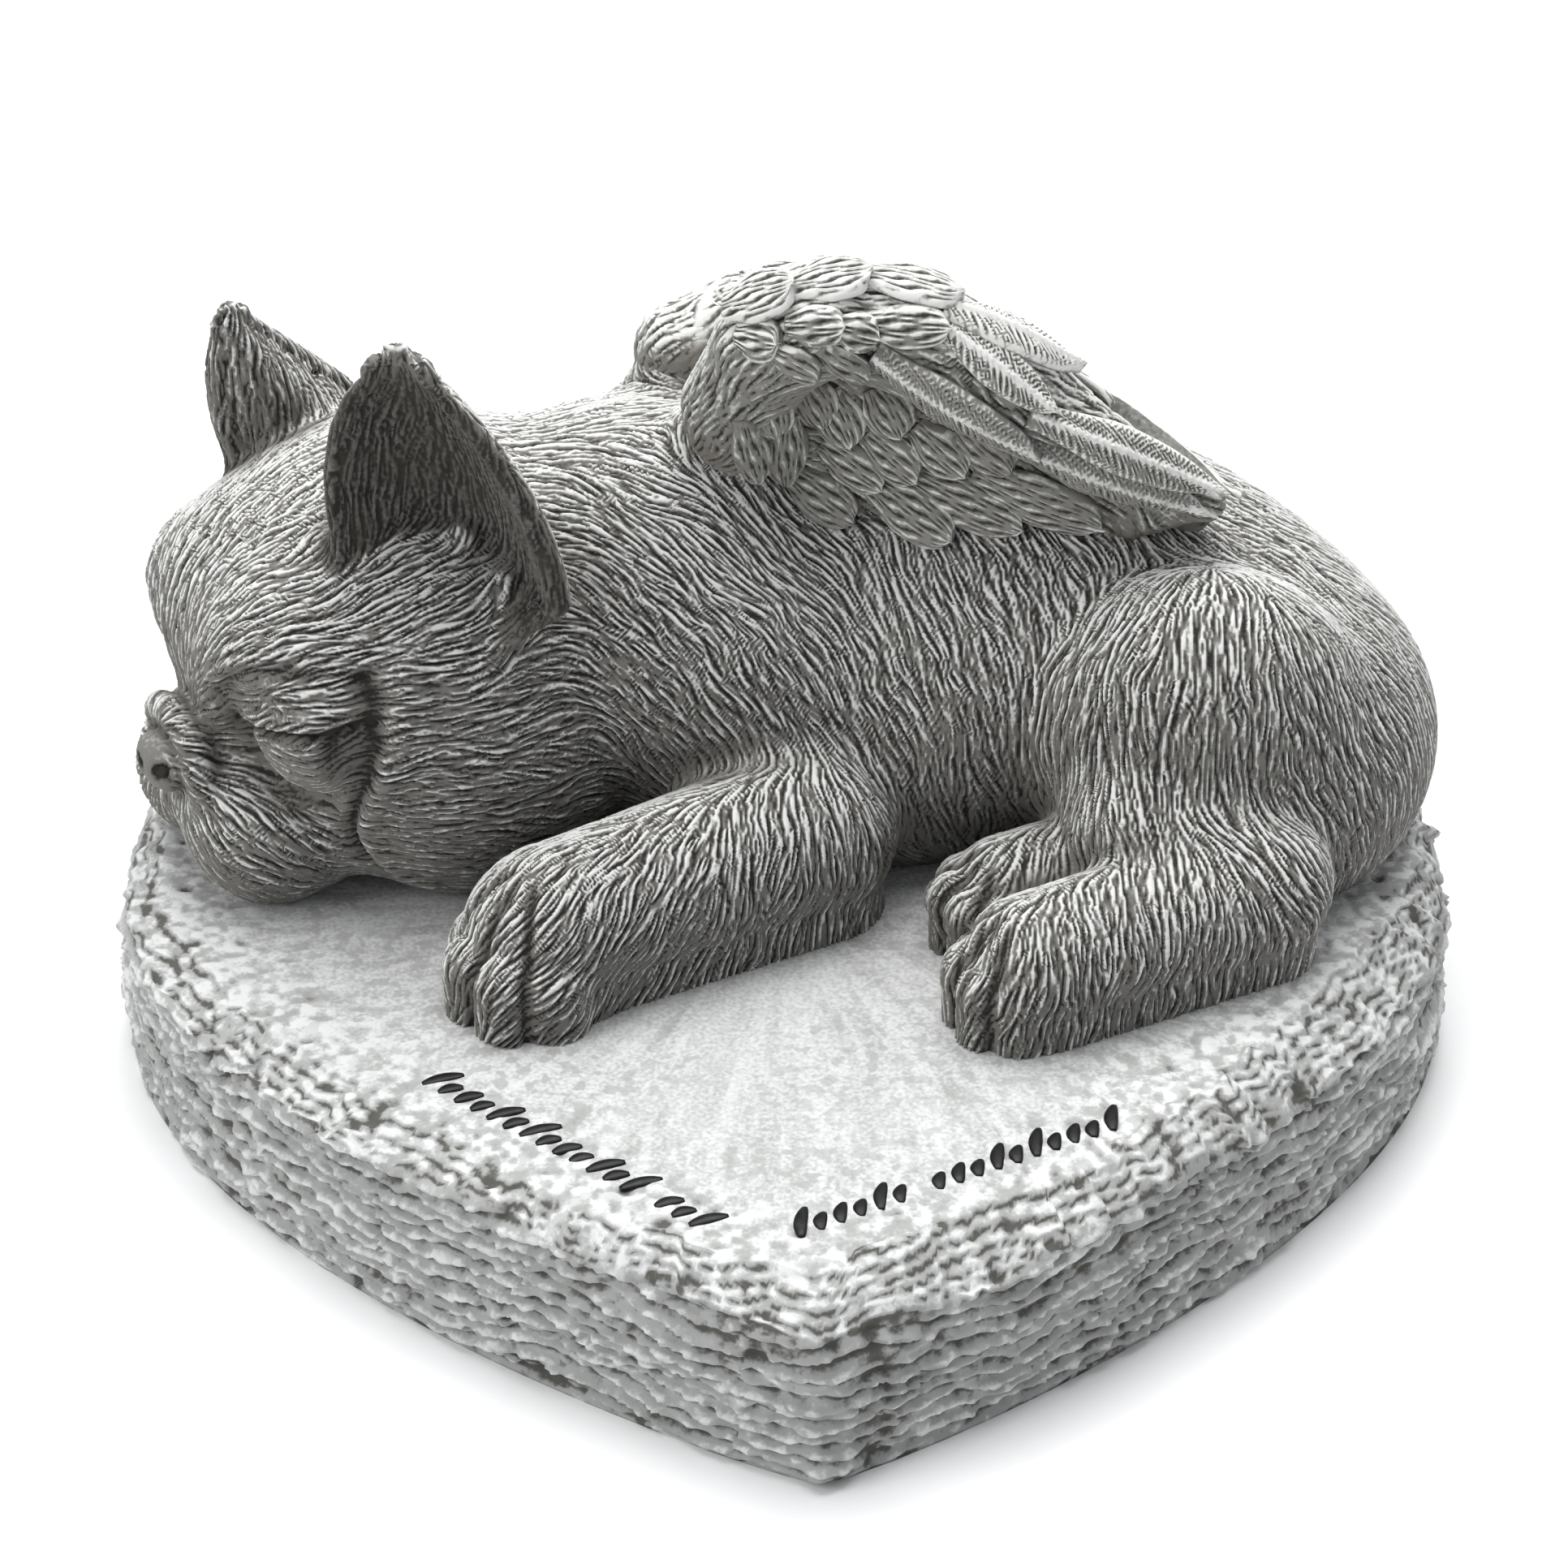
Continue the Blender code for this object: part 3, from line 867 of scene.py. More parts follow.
class Puppy:
    """The sleeping puppy as one field of distance, without its wings."""

    def carve(self, points: np.ndarray) -> tuple[np.ndarray, np.ndarray]:
        """Depth of the lines carved in the face, and the painted shade in them.

        A line is a row of stops in the plane across the head. Its groove is
        depth·exp(−(d/width)²), where d is the distance from the line in that plane, and the
        skin just above or behind it swells by the line's lip.

        Args:
            points: Places on the skin.

        Returns:
            How far each place sinks, and a painted shade from 0 to 1 in the grooves,
            nostrils, toe gaps and lip line.
        """
        local = (points - HEAD_CENTRE) @ HEAD_AXES
        sink = np.zeros(len(points))
        dark = np.zeros(len(points))
        front = local[:, 0] > 13.0
        for side in (1.0, -1.0):
            flat = (local * np.array([0.0, side, 1.0]))[front]
            for line in FACE_LINES:
                stops = [np.array([0.0, across, up]) for across, up in line.stops]
                gap = chain(flat, stops, 0.0)
                groove = np.exp(-((gap / line.width) ** 2))
                raised = flat + np.array([0.0, line.lip_side[0], line.lip_side[1]])
                lip = np.exp(-((chain(raised, stops, 0.0) / 1.6) ** 2))
                sink[front] += line.depth * groove - line.lip * lip * (1 - groove)
                # Painted shade along each carved line
                dark[front] = np.maximum(dark[front], line.shade * groove**1.5)
        for nostril in NOSTRILS:
            hole = head_ball(points, nostril, NOSTRIL_RADII)
            # Painted shade in the nostrils
            dark = np.maximum(dark, smooth_step(0.5, 0.0, hole))
        for paw in (FORE_PAW, HIND_PAW, FAR_PAW):
            gap = paw.gaps(points)
            sink = sink + 0.9 * gap
            # Painted shade in the gaps between the toes
            dark = np.maximum(dark, 0.75 * gap)
        sink = np.minimum(sink, 2.1)
        lip_gap = head_cord(points, LIP, 0.6)
        # Painted shade along the lip line
        return sink, np.maximum(dark, smooth_step(0.8, 0.0, lip_gap))

    def face(self, points: np.ndarray, skull: np.ndarray) -> np.ndarray:
        """Lay eyes, lids, folds and nose on the skull.

        Args:
            points: Rows of x, y, z near the face.
            skull: Distances to the skull there.

        Returns:
            Distances to the skull with its face.
        """
        form = skull
        for side in (1, -1):
            socket = head_ball(points, (38, side * 20.5, 0), (8.4, 10.2, 8.8))
            form = soft_cut(form, socket, 6.0)
            mound = head_ball(points, (27.0, side * 19.0, 2.6), (7.0, 11.5, 10.6))
            form = soft_union(form, mound, 2.6)
            bead = head_ball(points, (36.6, side * 11.0, -0.4), (1.2, 1.2, 1.2))
            form = soft_union(form, bead, 0.5)
        form = soft_union(form, head_cord(points, ROLL, 2.7), 1.2)
        nose = head_ball(points, (42.6, 0.4, -10.4), (3.9, 6.0, 4.4))
        nose = soft_cut(nose, head_ball(points, (46.4, 0.4, -12.5), (1.2, 0.5, 3.5)), 0.8)
        for nostril in NOSTRILS:
            nose = soft_cut(nose, head_ball(points, nostril, NOSTRIL_RADII), 0.5)
        form = soft_union(form, nose, 0.7)
        return soft_cut(form, head_cord(points, LIP, 1.0), 1.5)

    def head(self, points: np.ndarray) -> np.ndarray:
        """Join skull, cheeks, brows, muzzle, flews and face.

        Args:
            points: Rows of x, y, z.

        Returns:
            One distance a point.
        """
        form = head_ball(points, (0, 0, 3), (37, 37, 30))
        for side in (1, -1):
            cheek = head_ball(points, (-1, side * 19.5, -12), (26, 21, 21.3))
            brow = head_ball(points, (24, side * 12, 8), (13, 13.5, 12))
            form = soft_union(soft_union(form, cheek, 8.0), brow, 8.0)
        form = soft_union(form, head_ball(points, (17, 0, -18), (25, 26, 14)), 4.0)
        form = soft_union(form, head_ball(points, (29, 0, -9), (10.5, 10, 9)), 5.0)
        for side in (1, -1):
            flew = head_ball(points, (30, side * 10, -20.3), (12.8, 12.5, 12.3))
            form = soft_union(form, flew, 4.0)
        front = in_head(30, 0, -4)
        close = np.max(np.abs(points - front), axis=1) < 42.0
        if close.any():
            form = form.copy()
            form[close] = self.face(points[close], form[close])
        return form

    def ears(self, points: np.ndarray) -> np.ndarray:
        """Both ears, with the bead and the pouch at the root of the near one."""
        form = np.minimum(NEAR_EAR.field(points), FAR_EAR.field(points))
        pouch = head_ball(points, (-2.5, 29.5, 17.5), (3.2, 2.6, 6.5))
        form = soft_union(form, pouch, 2.0)
        form = soft_cut(form, ellipsoid(points, in_head(0.6, 31.0, 20.0), (1.3, 3.2, 5.0)), 0.8)
        form = soft_cut(form, ellipsoid(points, in_head(4.0, 22.5, 35.0), (1.6, 2.6, 2.2)), 0.8)
        return soft_union(form, ellipsoid(points, in_head(0.4, 21.4, 27.8), (1.7, 1.7, 1.9)), 0.6)

    def trunk(self, points: np.ndarray) -> np.ndarray:
        """Join chest, barrel, belly, rump, neck, the wings' roots and the tail.

        Args:
            points: Rows of x, y, z.

        Returns:
            One distance a point.
        """
        form = ellipsoid(points, (-22, 40, 60), (36, 34, 32))
        for centre, radii, blend in (
            ((25, 44, 58), (50, 32, 30), 10.0),
            ((14, 34, 46), (40, 29, 24), 8.0),
            ((40, 40, 57), (44, 33, 30), 10.0),
            ((70, 28, 46), (31, 34, 28), 12.0),
        ):
            form = soft_union(form, ellipsoid(points, centre, radii), blend)
        form = soft_union(form, limb(points, (-20, 40, 62), (-50, 38, 62), 29, 27), 8.0)
        form = soft_union(form, ellipsoid(points, (-6, 18, 56), (20, 12, 20)), 8.0)
        near_wing_root = limb(points, (-8, 38, 84), (-7, 35, 96), 9.5, 7.5)
        far_wing_root = limb(points, (-16, 60, 78), (-16, 60, 92), 9.5, 7.0)
        form = soft_union(soft_union(form, near_wing_root, 7.0), far_wing_root, 7.0)
        tail = limb(points, (86, 46, 50), (94, 52, 46), 7, 4)
        return soft_union(form, tail, 4.0)

    def foreleg(self, points: np.ndarray) -> np.ndarray:
        """Near forearm and paw, planted flat on the slab."""
        points = planted(points, 36.5)
        form = limb(points, (4, 3, 43), (-33, -17.5, 41.5), 13, 11.5)
        form = soft_union(form, ellipsoid(points, (-35, -18.5, 40.5), (12, 11.5, 10.5)), 3.0)
        return FORE_PAW.join(points, form)

    def thigh(self, points: np.ndarray) -> np.ndarray:
        """Near thigh and shin."""
        form = ellipsoid(points, (62, 12, 57), (26, 19, 25))
        return soft_union(form, limb(points, (52, -3, 47), (71, -8, 43), 11, 10), 5.0)

    def hind_foot(self, points: np.ndarray) -> np.ndarray:
        """Near hind foot from heel to toes, planted flat on the slab."""
        points = planted(points, 36.0)
        form = limb(points, (70, -9, 40.5), (36, -25.5, 39.5), 10.5, 10.3)
        return HIND_PAW.join(points, form)

    def far_paw(self, points: np.ndarray) -> np.ndarray:
        """Far hind paw, which shows behind the near one."""
        points = planted(points, 36.0)
        return FAR_PAW.join(points, limb(points, (46, -1, 39), (33.5, -6, 38.5), 9, 8.6))

    def parts(self, points: np.ndarray, wanted: tuple[Part, ...]) -> dict[Part, np.ndarray]:
        """Distances to each wanted stretch.

        Args:
            points: Rows of x, y, z.
            wanted: Stretches to work out.

        Returns:
            The distances to each, in the order asked for.
        """
        makers = {
            Part.HEAD: self.head,
            Part.EARS: self.ears,
            Part.TRUNK: self.trunk,
            Part.FORELEG: self.foreleg,
            Part.THIGH: self.thigh,
            Part.HIND_FOOT: self.hind_foot,
            Part.FAR_PAW: self.far_paw,
        }
        return {part: makers[part](points) for part in wanted}

    def whole(self, points: np.ndarray, wanted: tuple[Part, ...]) -> np.ndarray:
        """Distance to the wanted stretches together, with a fillet where two meet.

        Args:
            points: Rows of x, y, z.
            wanted: Stretches to join; the trunk is one of them.

        Returns:
            One distance a point.
        """
        fillets = {
            Part.HEAD: 3.0,
            Part.EARS: 3.5,
            Part.FORELEG: 4.0,
            Part.THIGH: 3.5,
            Part.HIND_FOOT: 2.5,
            Part.FAR_PAW: 2.0,
        }
        found = self.parts(points, wanted)
        form = found.pop(Part.TRUNK)
        for part, distance in found.items():
            form = soft_union(form, distance, fillets[part])
        return form

    def hair_way(self, points: np.ndarray, wanted: tuple[Part, ...]) -> np.ndarray:
        """The way that the carved hair runs, before it is laid on the surface.

        Each stretch has a direction of its own, and the directions are mixed by how near the
        stretches are.

        Args:
            points: Rows of x, y, z.
            wanted: Stretches that are near.

        Returns:
            One direction a point, not yet of unit length.
        """
        found = self.parts(points, wanted)
        nearest = np.minimum.reduce(list(found.values()))
        total = np.zeros_like(points)
        x = points[:, 0]
        one = np.ones(len(points))
        for part, distance in found.items():
            weight = np.exp(-(distance - nearest) / 1.6)[:, None]
            if part is Part.HEAD:
                way = points - in_head(46, 0, -6)
                way = way / np.linalg.norm(way, axis=1, keepdims=True)
            elif part is Part.EARS:
                way = np.broadcast_to(np.array([0.05, 0.0, 1.0]), points.shape)
            elif part is Part.TRUNK:
                back = np.interp(x, [-45, 0, 40, 80], [1.2, 0.55, 0.3, 0.2])
                way = np.stack([back, -0.05 * one, -one], axis=1)
            elif part is Part.FORELEG:
                reach = np.interp(x, [-42, -20, 5], [1.6, 0.55, 0.1])
                way = np.stack([-0.85 * reach, -0.5 * reach - 0.2, -one], axis=1)
            elif part is Part.THIGH:
                low = np.interp(points[:, 2], [40, 55, 75], [1.3, 0.3, -0.1])
                side = (x - 60) / 26
                way = np.stack([low + 0.35 * side, -0.3 * one, -one], axis=1)
            else:
                reach = np.interp(x, [25, 40, 70], [1.1, 0.2, 0.0])
                way = np.stack([-0.8 * reach + 0.12, -0.5 * one, -one], axis=1)
            total += way * weight
        return total


def smear(
    lattice: Lattice, values: np.ndarray, way: np.ndarray, places: np.ndarray, pitch: float,
    length: float,
) -> np.ndarray:
    """Height of carved strokes, by smearing noise along the way that they lie.

    From each point a path runs both ways along the strokes on the sampled surface. At each
    stop the noise a quarter of the pitch to one side is taken from that on the other, and
    these differences are averaged with a bell of weights. That leaves narrow ridges.

    Args:
        lattice: Lattice on which the field was sampled.
        values: Distances on it.
        way: Directions of the strokes on it, not yet laid on the surface.
        places: Points on the surface.
        pitch: From one ridge to the next, in mm.
        length: Length of a stroke in mm.

    Returns:
        Values about 0, with a spread of about 1.
    """
    grid = values.reshape(lattice.shape)
    slope = np.stack(np.gradient(grid, lattice.step), axis=-1).reshape(-1, 3)
    slope /= np.linalg.norm(slope, axis=1, keepdims=True) + 1e-9
    way = way - slope * np.sum(way * slope, axis=1, keepdims=True)
    way /= np.linalg.norm(way, axis=1, keepdims=True) + 1e-9
    table = np.concatenate([way, slope, values[:, None]], axis=1).astype(np.float32)
    noise = Noise(STRAND_SEED)
    cell = pitch * 0.45
    stride = cell * 0.9
    count = max(int(length / stride / 2), 3)
    total = np.zeros(len(places), np.float32)
    wave = (Noise(SWAY_SEED)(places, 4.4) - 0.5)[:, None] * 0.8
    for direction in (1.0, -1.0):
        spot = places.astype(np.float32)
        for number in range(count):
            facts = lattice.read(table, spot)
            slant, skin = facts[:, 3:6], facts[:, 6:7]
            spot = spot - slant * skin
            turn = np.cross(slant, facts[:, 0:3])
            if number or direction > 0:
                weight = np.cos(0.5 * np.pi * number / count) ** 2
                aside = turn * (pitch * 0.25)
                total += (noise(spot + aside, cell) - noise(spot - aside, cell)) * weight
            heading = facts[:, 0:3] + turn * wave
            heading /= np.linalg.norm(heading, axis=1, keepdims=True) + 1e-9
            spot = spot + heading * (stride * direction)
    total -= total.mean()
    return total / (total.std() + 1e-9)


@dataclass
class Hide:
    """One stretch of the puppy's carved hide, which dips a little under the next at its edge.

    Low and high are the corners of its lattice, step its spacing and split the number of parts
    that a quad's side is cut into. A cut is one or more planes, each an outward direction and a
    distance from the origin.
    """

    name: str
    low: Triple
    high: Triple
    wanted: tuple[Part, ...]
    cuts: tuple[Cut, ...]
    step: float = 2.2
    split: int = 6
    hair_depth: float = 0.27
    hair_pitch: float = 0.72
    hair_length: float = 5.6
    ears: int = 0
    whole_leg: bool = False
    limit: int = 175000
    puppy: Puppy = field(default_factory=Puppy)

    def body(self, points: np.ndarray) -> np.ndarray:
        """Distance to the puppy near this stretch."""
        return self.puppy.whole(points, self.wanted)

    def beyond(self, points: np.ndarray) -> np.ndarray:
        """How far a point is past the edge of this stretch.

        The edges are flat cuts, and a line 3.9 mm round the ears: ears is 1 for the stretch
        inside that line and −1 for the one that leaves it out. A point is inside a cut if it is
        behind one of its planes. The first cut spares the foreleg where whole_leg is set.

        Args:
            points: Rows of x, y, z.

        Returns:
            One distance a point, negative within the stretch.
        """
        gaps = [
            np.minimum.reduce([points @ np.asarray(out, float) - limit for out, limit in cut])
            for cut in self.cuts
        ]
        if self.whole_leg:
            leg, trunk = self.puppy.foreleg(points), self.puppy.trunk(points)
            gaps[0] = np.where(leg < trunk + 2.0, -9.0, gaps[0])
        if self.ears:
            ears = np.minimum(NEAR_EAR.field(points), FAR_EAR.field(points))
            gaps.append(np.clip(self.ears * (ears - 3.9), -9.0, 9.0))
        return np.maximum.reduce(gaps)

    def shell(self) -> Shell:
        """Find the surface, split it finely, carve the hair and close the edge inside.

        Returns:
            The hide with its relief and its openness to light.
        """
        lattice = Lattice.over(self.low, self.high, self.step)
        body = self.body(lattice.points())
        verts, quads = net_surface(body, lattice)
        kept = (self.beyond(verts)[quads] < 0.0).any(axis=1)
        verts, quads = drop_unused(verts, quads[kept])
        coarse = quads
        inner = settle_on(lambda places: self.body(places) + 1.7, verts, 3)
        verts, quads = split_quads(verts, quads, self.split)
        verts = settle_on(self.body, verts, 2)
        normals = field_normals(self.body, verts)
        past = self.beyond(verts)
        near = np.abs(body) < 3.0 * lattice.step
        way = np.zeros((len(body), 3))
        way[near] = self.puppy.hair_way(lattice.points()[near], self.wanted)
        strands = smear(lattice, body, way, verts, self.hair_pitch, self.hair_length)
        ridge = np.tanh(strands * 1.3)
        hairy = self.hairy(verts)
        # Room in front of the skin; the shader paints shade where there is little of it
        open_near = np.clip(self.body(verts + normals * 2.5) / 2.5, 0.0, 1.0)
        open_far = np.clip(self.body(verts + normals * 9.0) / 9.0, 0.0, 1.0)
        open_far = open_far * np.clip(self.body(verts + normals * 18.0) / 16.0, 0.0, 1.0)
        groove, dark = self.puppy.carve(verts)
        depth = self.hair_depth * hairy * (0.5 + 0.5 * open_near) * (1 - 0.7 * dark)
        sink = 0.9 * smooth_step(0.0, 1.4, past) + groove
        verts = verts + normals * (depth * (ridge - 0.2) - sink)[:, None]
        cup = np.zeros(len(verts))
        if self.ears > 0:
            cup = NEAR_EAR.cup(verts, normals) + FAR_EAR.cup(verts, normals)
        # Painted shade: relief is darkened in the carved lines and in the ear hollows
        shaded = (1 - dark) * (1 - 0.65 * cup)
        wall, strip = line_inside(coarse, inner, verts, self.split)
        verts = np.concatenate([verts, inner])
        quads = np.concatenate([quads, wall])
        # relief carries painted shade, open sets painted shade in closed places, upward sets
        # painted light on top faces
        values = {
            "relief": (0.5 + 0.5 * ridge * hairy) * shaded,
            "open": (0.5 * open_near + 0.5 * open_far) * (1 - cup),
            "upward": normals[:, 2],
        }
        values = {label: np.pad(numbers, (0, len(inner))) for label, numbers in values.items()}
        return Shell(verts, quads, values, strip)

    def hairy(self, verts: np.ndarray) -> np.ndarray:
        """How much hair a point carries: none on the nose leather, all elsewhere."""
        nose = head_ball(verts, (44.0, 0, -10.4), (4.2, 5.9, 4.6))
        return smooth_step(-0.3, 0.5, nose)


BELOW_TOP: Cut = (((0, 0, -1), 1.0 - BASE_TOP),)
HIDES = (
    Hide(
        "puppy_head",
        (-104.0, -14.0, 24.0),
        (-8.0, 84.0, 98.0),
        (Part.TRUNK, Part.HEAD, Part.EARS),
        (
            (((1, 0, 0), -16.0),),
            (((0, 1, 0), 58.0), ((1, 0, 0), -78.0)),
            BELOW_TOP,
        ),
        ears=-1,
        hair_depth=0.32,
    ),
    Hide(
        "puppy_ears",
        (-104.0, -6.0, 56.0),
        (-24.0, 84.0, 130.0),
        (Part.TRUNK, Part.HEAD, Part.EARS),
        ((((0, 0, -1), -20.0),),),
        step=2.0,
        split=5,
        hair_depth=0.22,
        ears=1,
        limit=62000,
    ),
    Hide(
        "puppy_forequarter",
        (-58.0, -38.0, 24.0),
        (20.0, 54.0, 106.0),
        (Part.TRUNK, Part.FORELEG),
        (
            (((-1, 0, 0), 16.0),),
            (((1, 0, 0), 14.0),),
            (((0, 1, 0), 46.0),),
            BELOW_TOP,
        ),
        whole_leg=True,
        limit=135000,
    ),
    Hide(
        "puppy_hindquarter",
        (8.0, -42.0, 24.0),
        (108.0, 54.0, 98.0),
        (Part.TRUNK, Part.FORELEG, Part.THIGH, Part.HIND_FOOT, Part.FAR_PAW),
        ((((-1, 0, 0), -14.0),), (((0, 1, 0), 46.0),), BELOW_TOP),
    ),
    Hide(
        "puppy_far_side",
        (-88.0, 38.0, 24.0),
        (108.0, 88.0, 106.0),
        (Part.TRUNK, Part.HEAD),
        (
            (((0, -1, 0), -46.0),),
            (((0, -1, 0), -58.0), ((-1, 0, 0), 16.0)),
            (((-1, 0, 0), 78.0),),
            BELOW_TOP,
        ),
        step=2.4,
        split=4,
        hair_depth=0.34,
        hair_pitch=1.35,
        hair_length=8.0,
        limit=46000,
    ),
)


# Wings

WALL_INSET = 3.5
FEATHER_CREASE = 60.0
PLAIN = {"pitch": 2.1, "spacing": 0.7}


def along(stops: np.ndarray, shares: np.ndarray) -> np.ndarray:
    """Find places on a row of stops.

    Args:
        stops: Rows of x, y, z.
        shares: Shares from 0 to 1 of the row's count of spans.

    Returns:
        One place a share.
    """
    spot = np.clip(shares, 0.0, 1.0) * (len(stops) - 1)
    floor = np.minimum(spot.astype(int), len(stops) - 2)
    part = (spot - floor)[:, None]
    return stops[floor] * (1 - part) + stops[floor + 1] * part


@dataclass
class Feather:
    """One closed, slightly cupped feather lying on a wing.

    Its upper face is root + (tip − root)·v + side·u·width(v) + up·height(u, v), where the
    height falls off to the edges as a shallow arch and carries the barbs and the quill. Taper
    is the width at the root as a share of the whole, pitch the distance between barbs, and
    spacing that between vertices.
    """

    root: np.ndarray
    tip: np.ndarray
    up: np.ndarray
    width: float
    thickness: float = 1.2
    quill: bool = False
    bow: float = 0.06
    taper: float = 0.55
    pitch: float = 1.0
    spacing: float = 0.36

    def shell(self, seed: int) -> tuple[np.ndarray, np.ndarray, np.ndarray]:
        """Work out the closed feather.

        Args:
            seed: Number that sets the unevenness of its tip and barbs.

        Returns:
            Vertices, quads and relief.
        """
        run = self.tip - self.root
        length = float(np.linalg.norm(run))
        run = run / length
        up = self.up - run * (self.up @ run)
        up = up / np.linalg.norm(up)
        side = np.cross(up, run)
        rows = max(int(length / self.spacing), 8)
        cols = max(int(self.width / self.spacing), 8)
        v = np.linspace(0.0, 1.0, rows)[:, None]
        u = np.linspace(-1.0, 1.0, cols)[None, :]
        rng = np.random.default_rng(seed)
        notch = rng.normal(0.0, 0.012, cols)
        profile = self.taper + (1 - self.taper) * smooth_step(0.0, 0.5, v)
        nib = 1.6 if self.quill else 2.6
        profile = profile * np.clip(1 - v**(nib * 2.2), 0.0, 1.0) ** (1 / nib)
        half = np.maximum(profile * self.width / 2, 0.15)
        across = u * half
        forward = v * length + (notch[None, :] + 0.05 * (1 - u**2)) * length * v**6
        if self.quill:
            phase = (v * length - np.abs(across) * 1.1) / self.pitch
        else:
            phase = u * self.width / 2 / self.pitch * (0.75 + 0.25 * v)
        sway = 0.25 * np.sin(3.1 * v * length / 4 + 7 * u + seed)
        barb = np.sin(2 * np.pi * (phase + sway))
        edge = 1 - np.abs(u) ** 8
        arch = self.thickness * (0.55 + 0.45 * (1 - u**2))
        bow = np.sin(np.pi * v) * length * self.bow
        height = arch * edge + bow
        relief = 0.5 + 0.5 * barb * smooth_step(0.0, 0.06, v)
        height = height + 0.2 * barb * edge
        rim = smooth_step(0.75, 0.97, np.abs(u)) + smooth_step(0.86, 0.98, v)
        height = height + 0.16 * np.clip(rim, 0, 1) * edge
        relief = np.clip(relief + 0.45 * np.clip(rim, 0, 1), 0.0, 1.0)
        if self.quill:
            stem = np.exp(-((across / 0.55) ** 2))
            height = height + 0.5 * stem
            relief = np.clip(relief + stem, 0.0, 1.0)
        upper = self.place((forward, across, height), (run, side, up))
        lower = self.place((forward, across, bow - 0.6), (run, side, up))
        ring = np.concatenate([upper, lower[:, ::-1]], axis=1)
        tone = np.concatenate([relief, np.full_like(relief, 0.5)], axis=1).ravel()
        return ring.reshape(-1, 3), tube_net(rows, 2 * cols), tone

    def place(self, spread: tuple[np.ndarray, ...], axes: tuple[np.ndarray, ...]) -> np.ndarray:
        """Turn distances on the feather into places.

        Args:
            spread: Distances from the root along each axis.
            axes: Unit vectors towards the tip, to the side and out of the wing.

        Returns:
            Rows and columns of x, y, z.
        """
        even = np.broadcast_arrays(*spread)
        return self.root + sum(part[..., None] * axis for part, axis in zip(even, axes))


@dataclass(frozen=True)
class Plume:
    """A feather of the near wing: where it starts and ends on the core, and its width."""

    root: Triple
    tip: Triple
    up: Triple
    width: float
    quill: bool = False


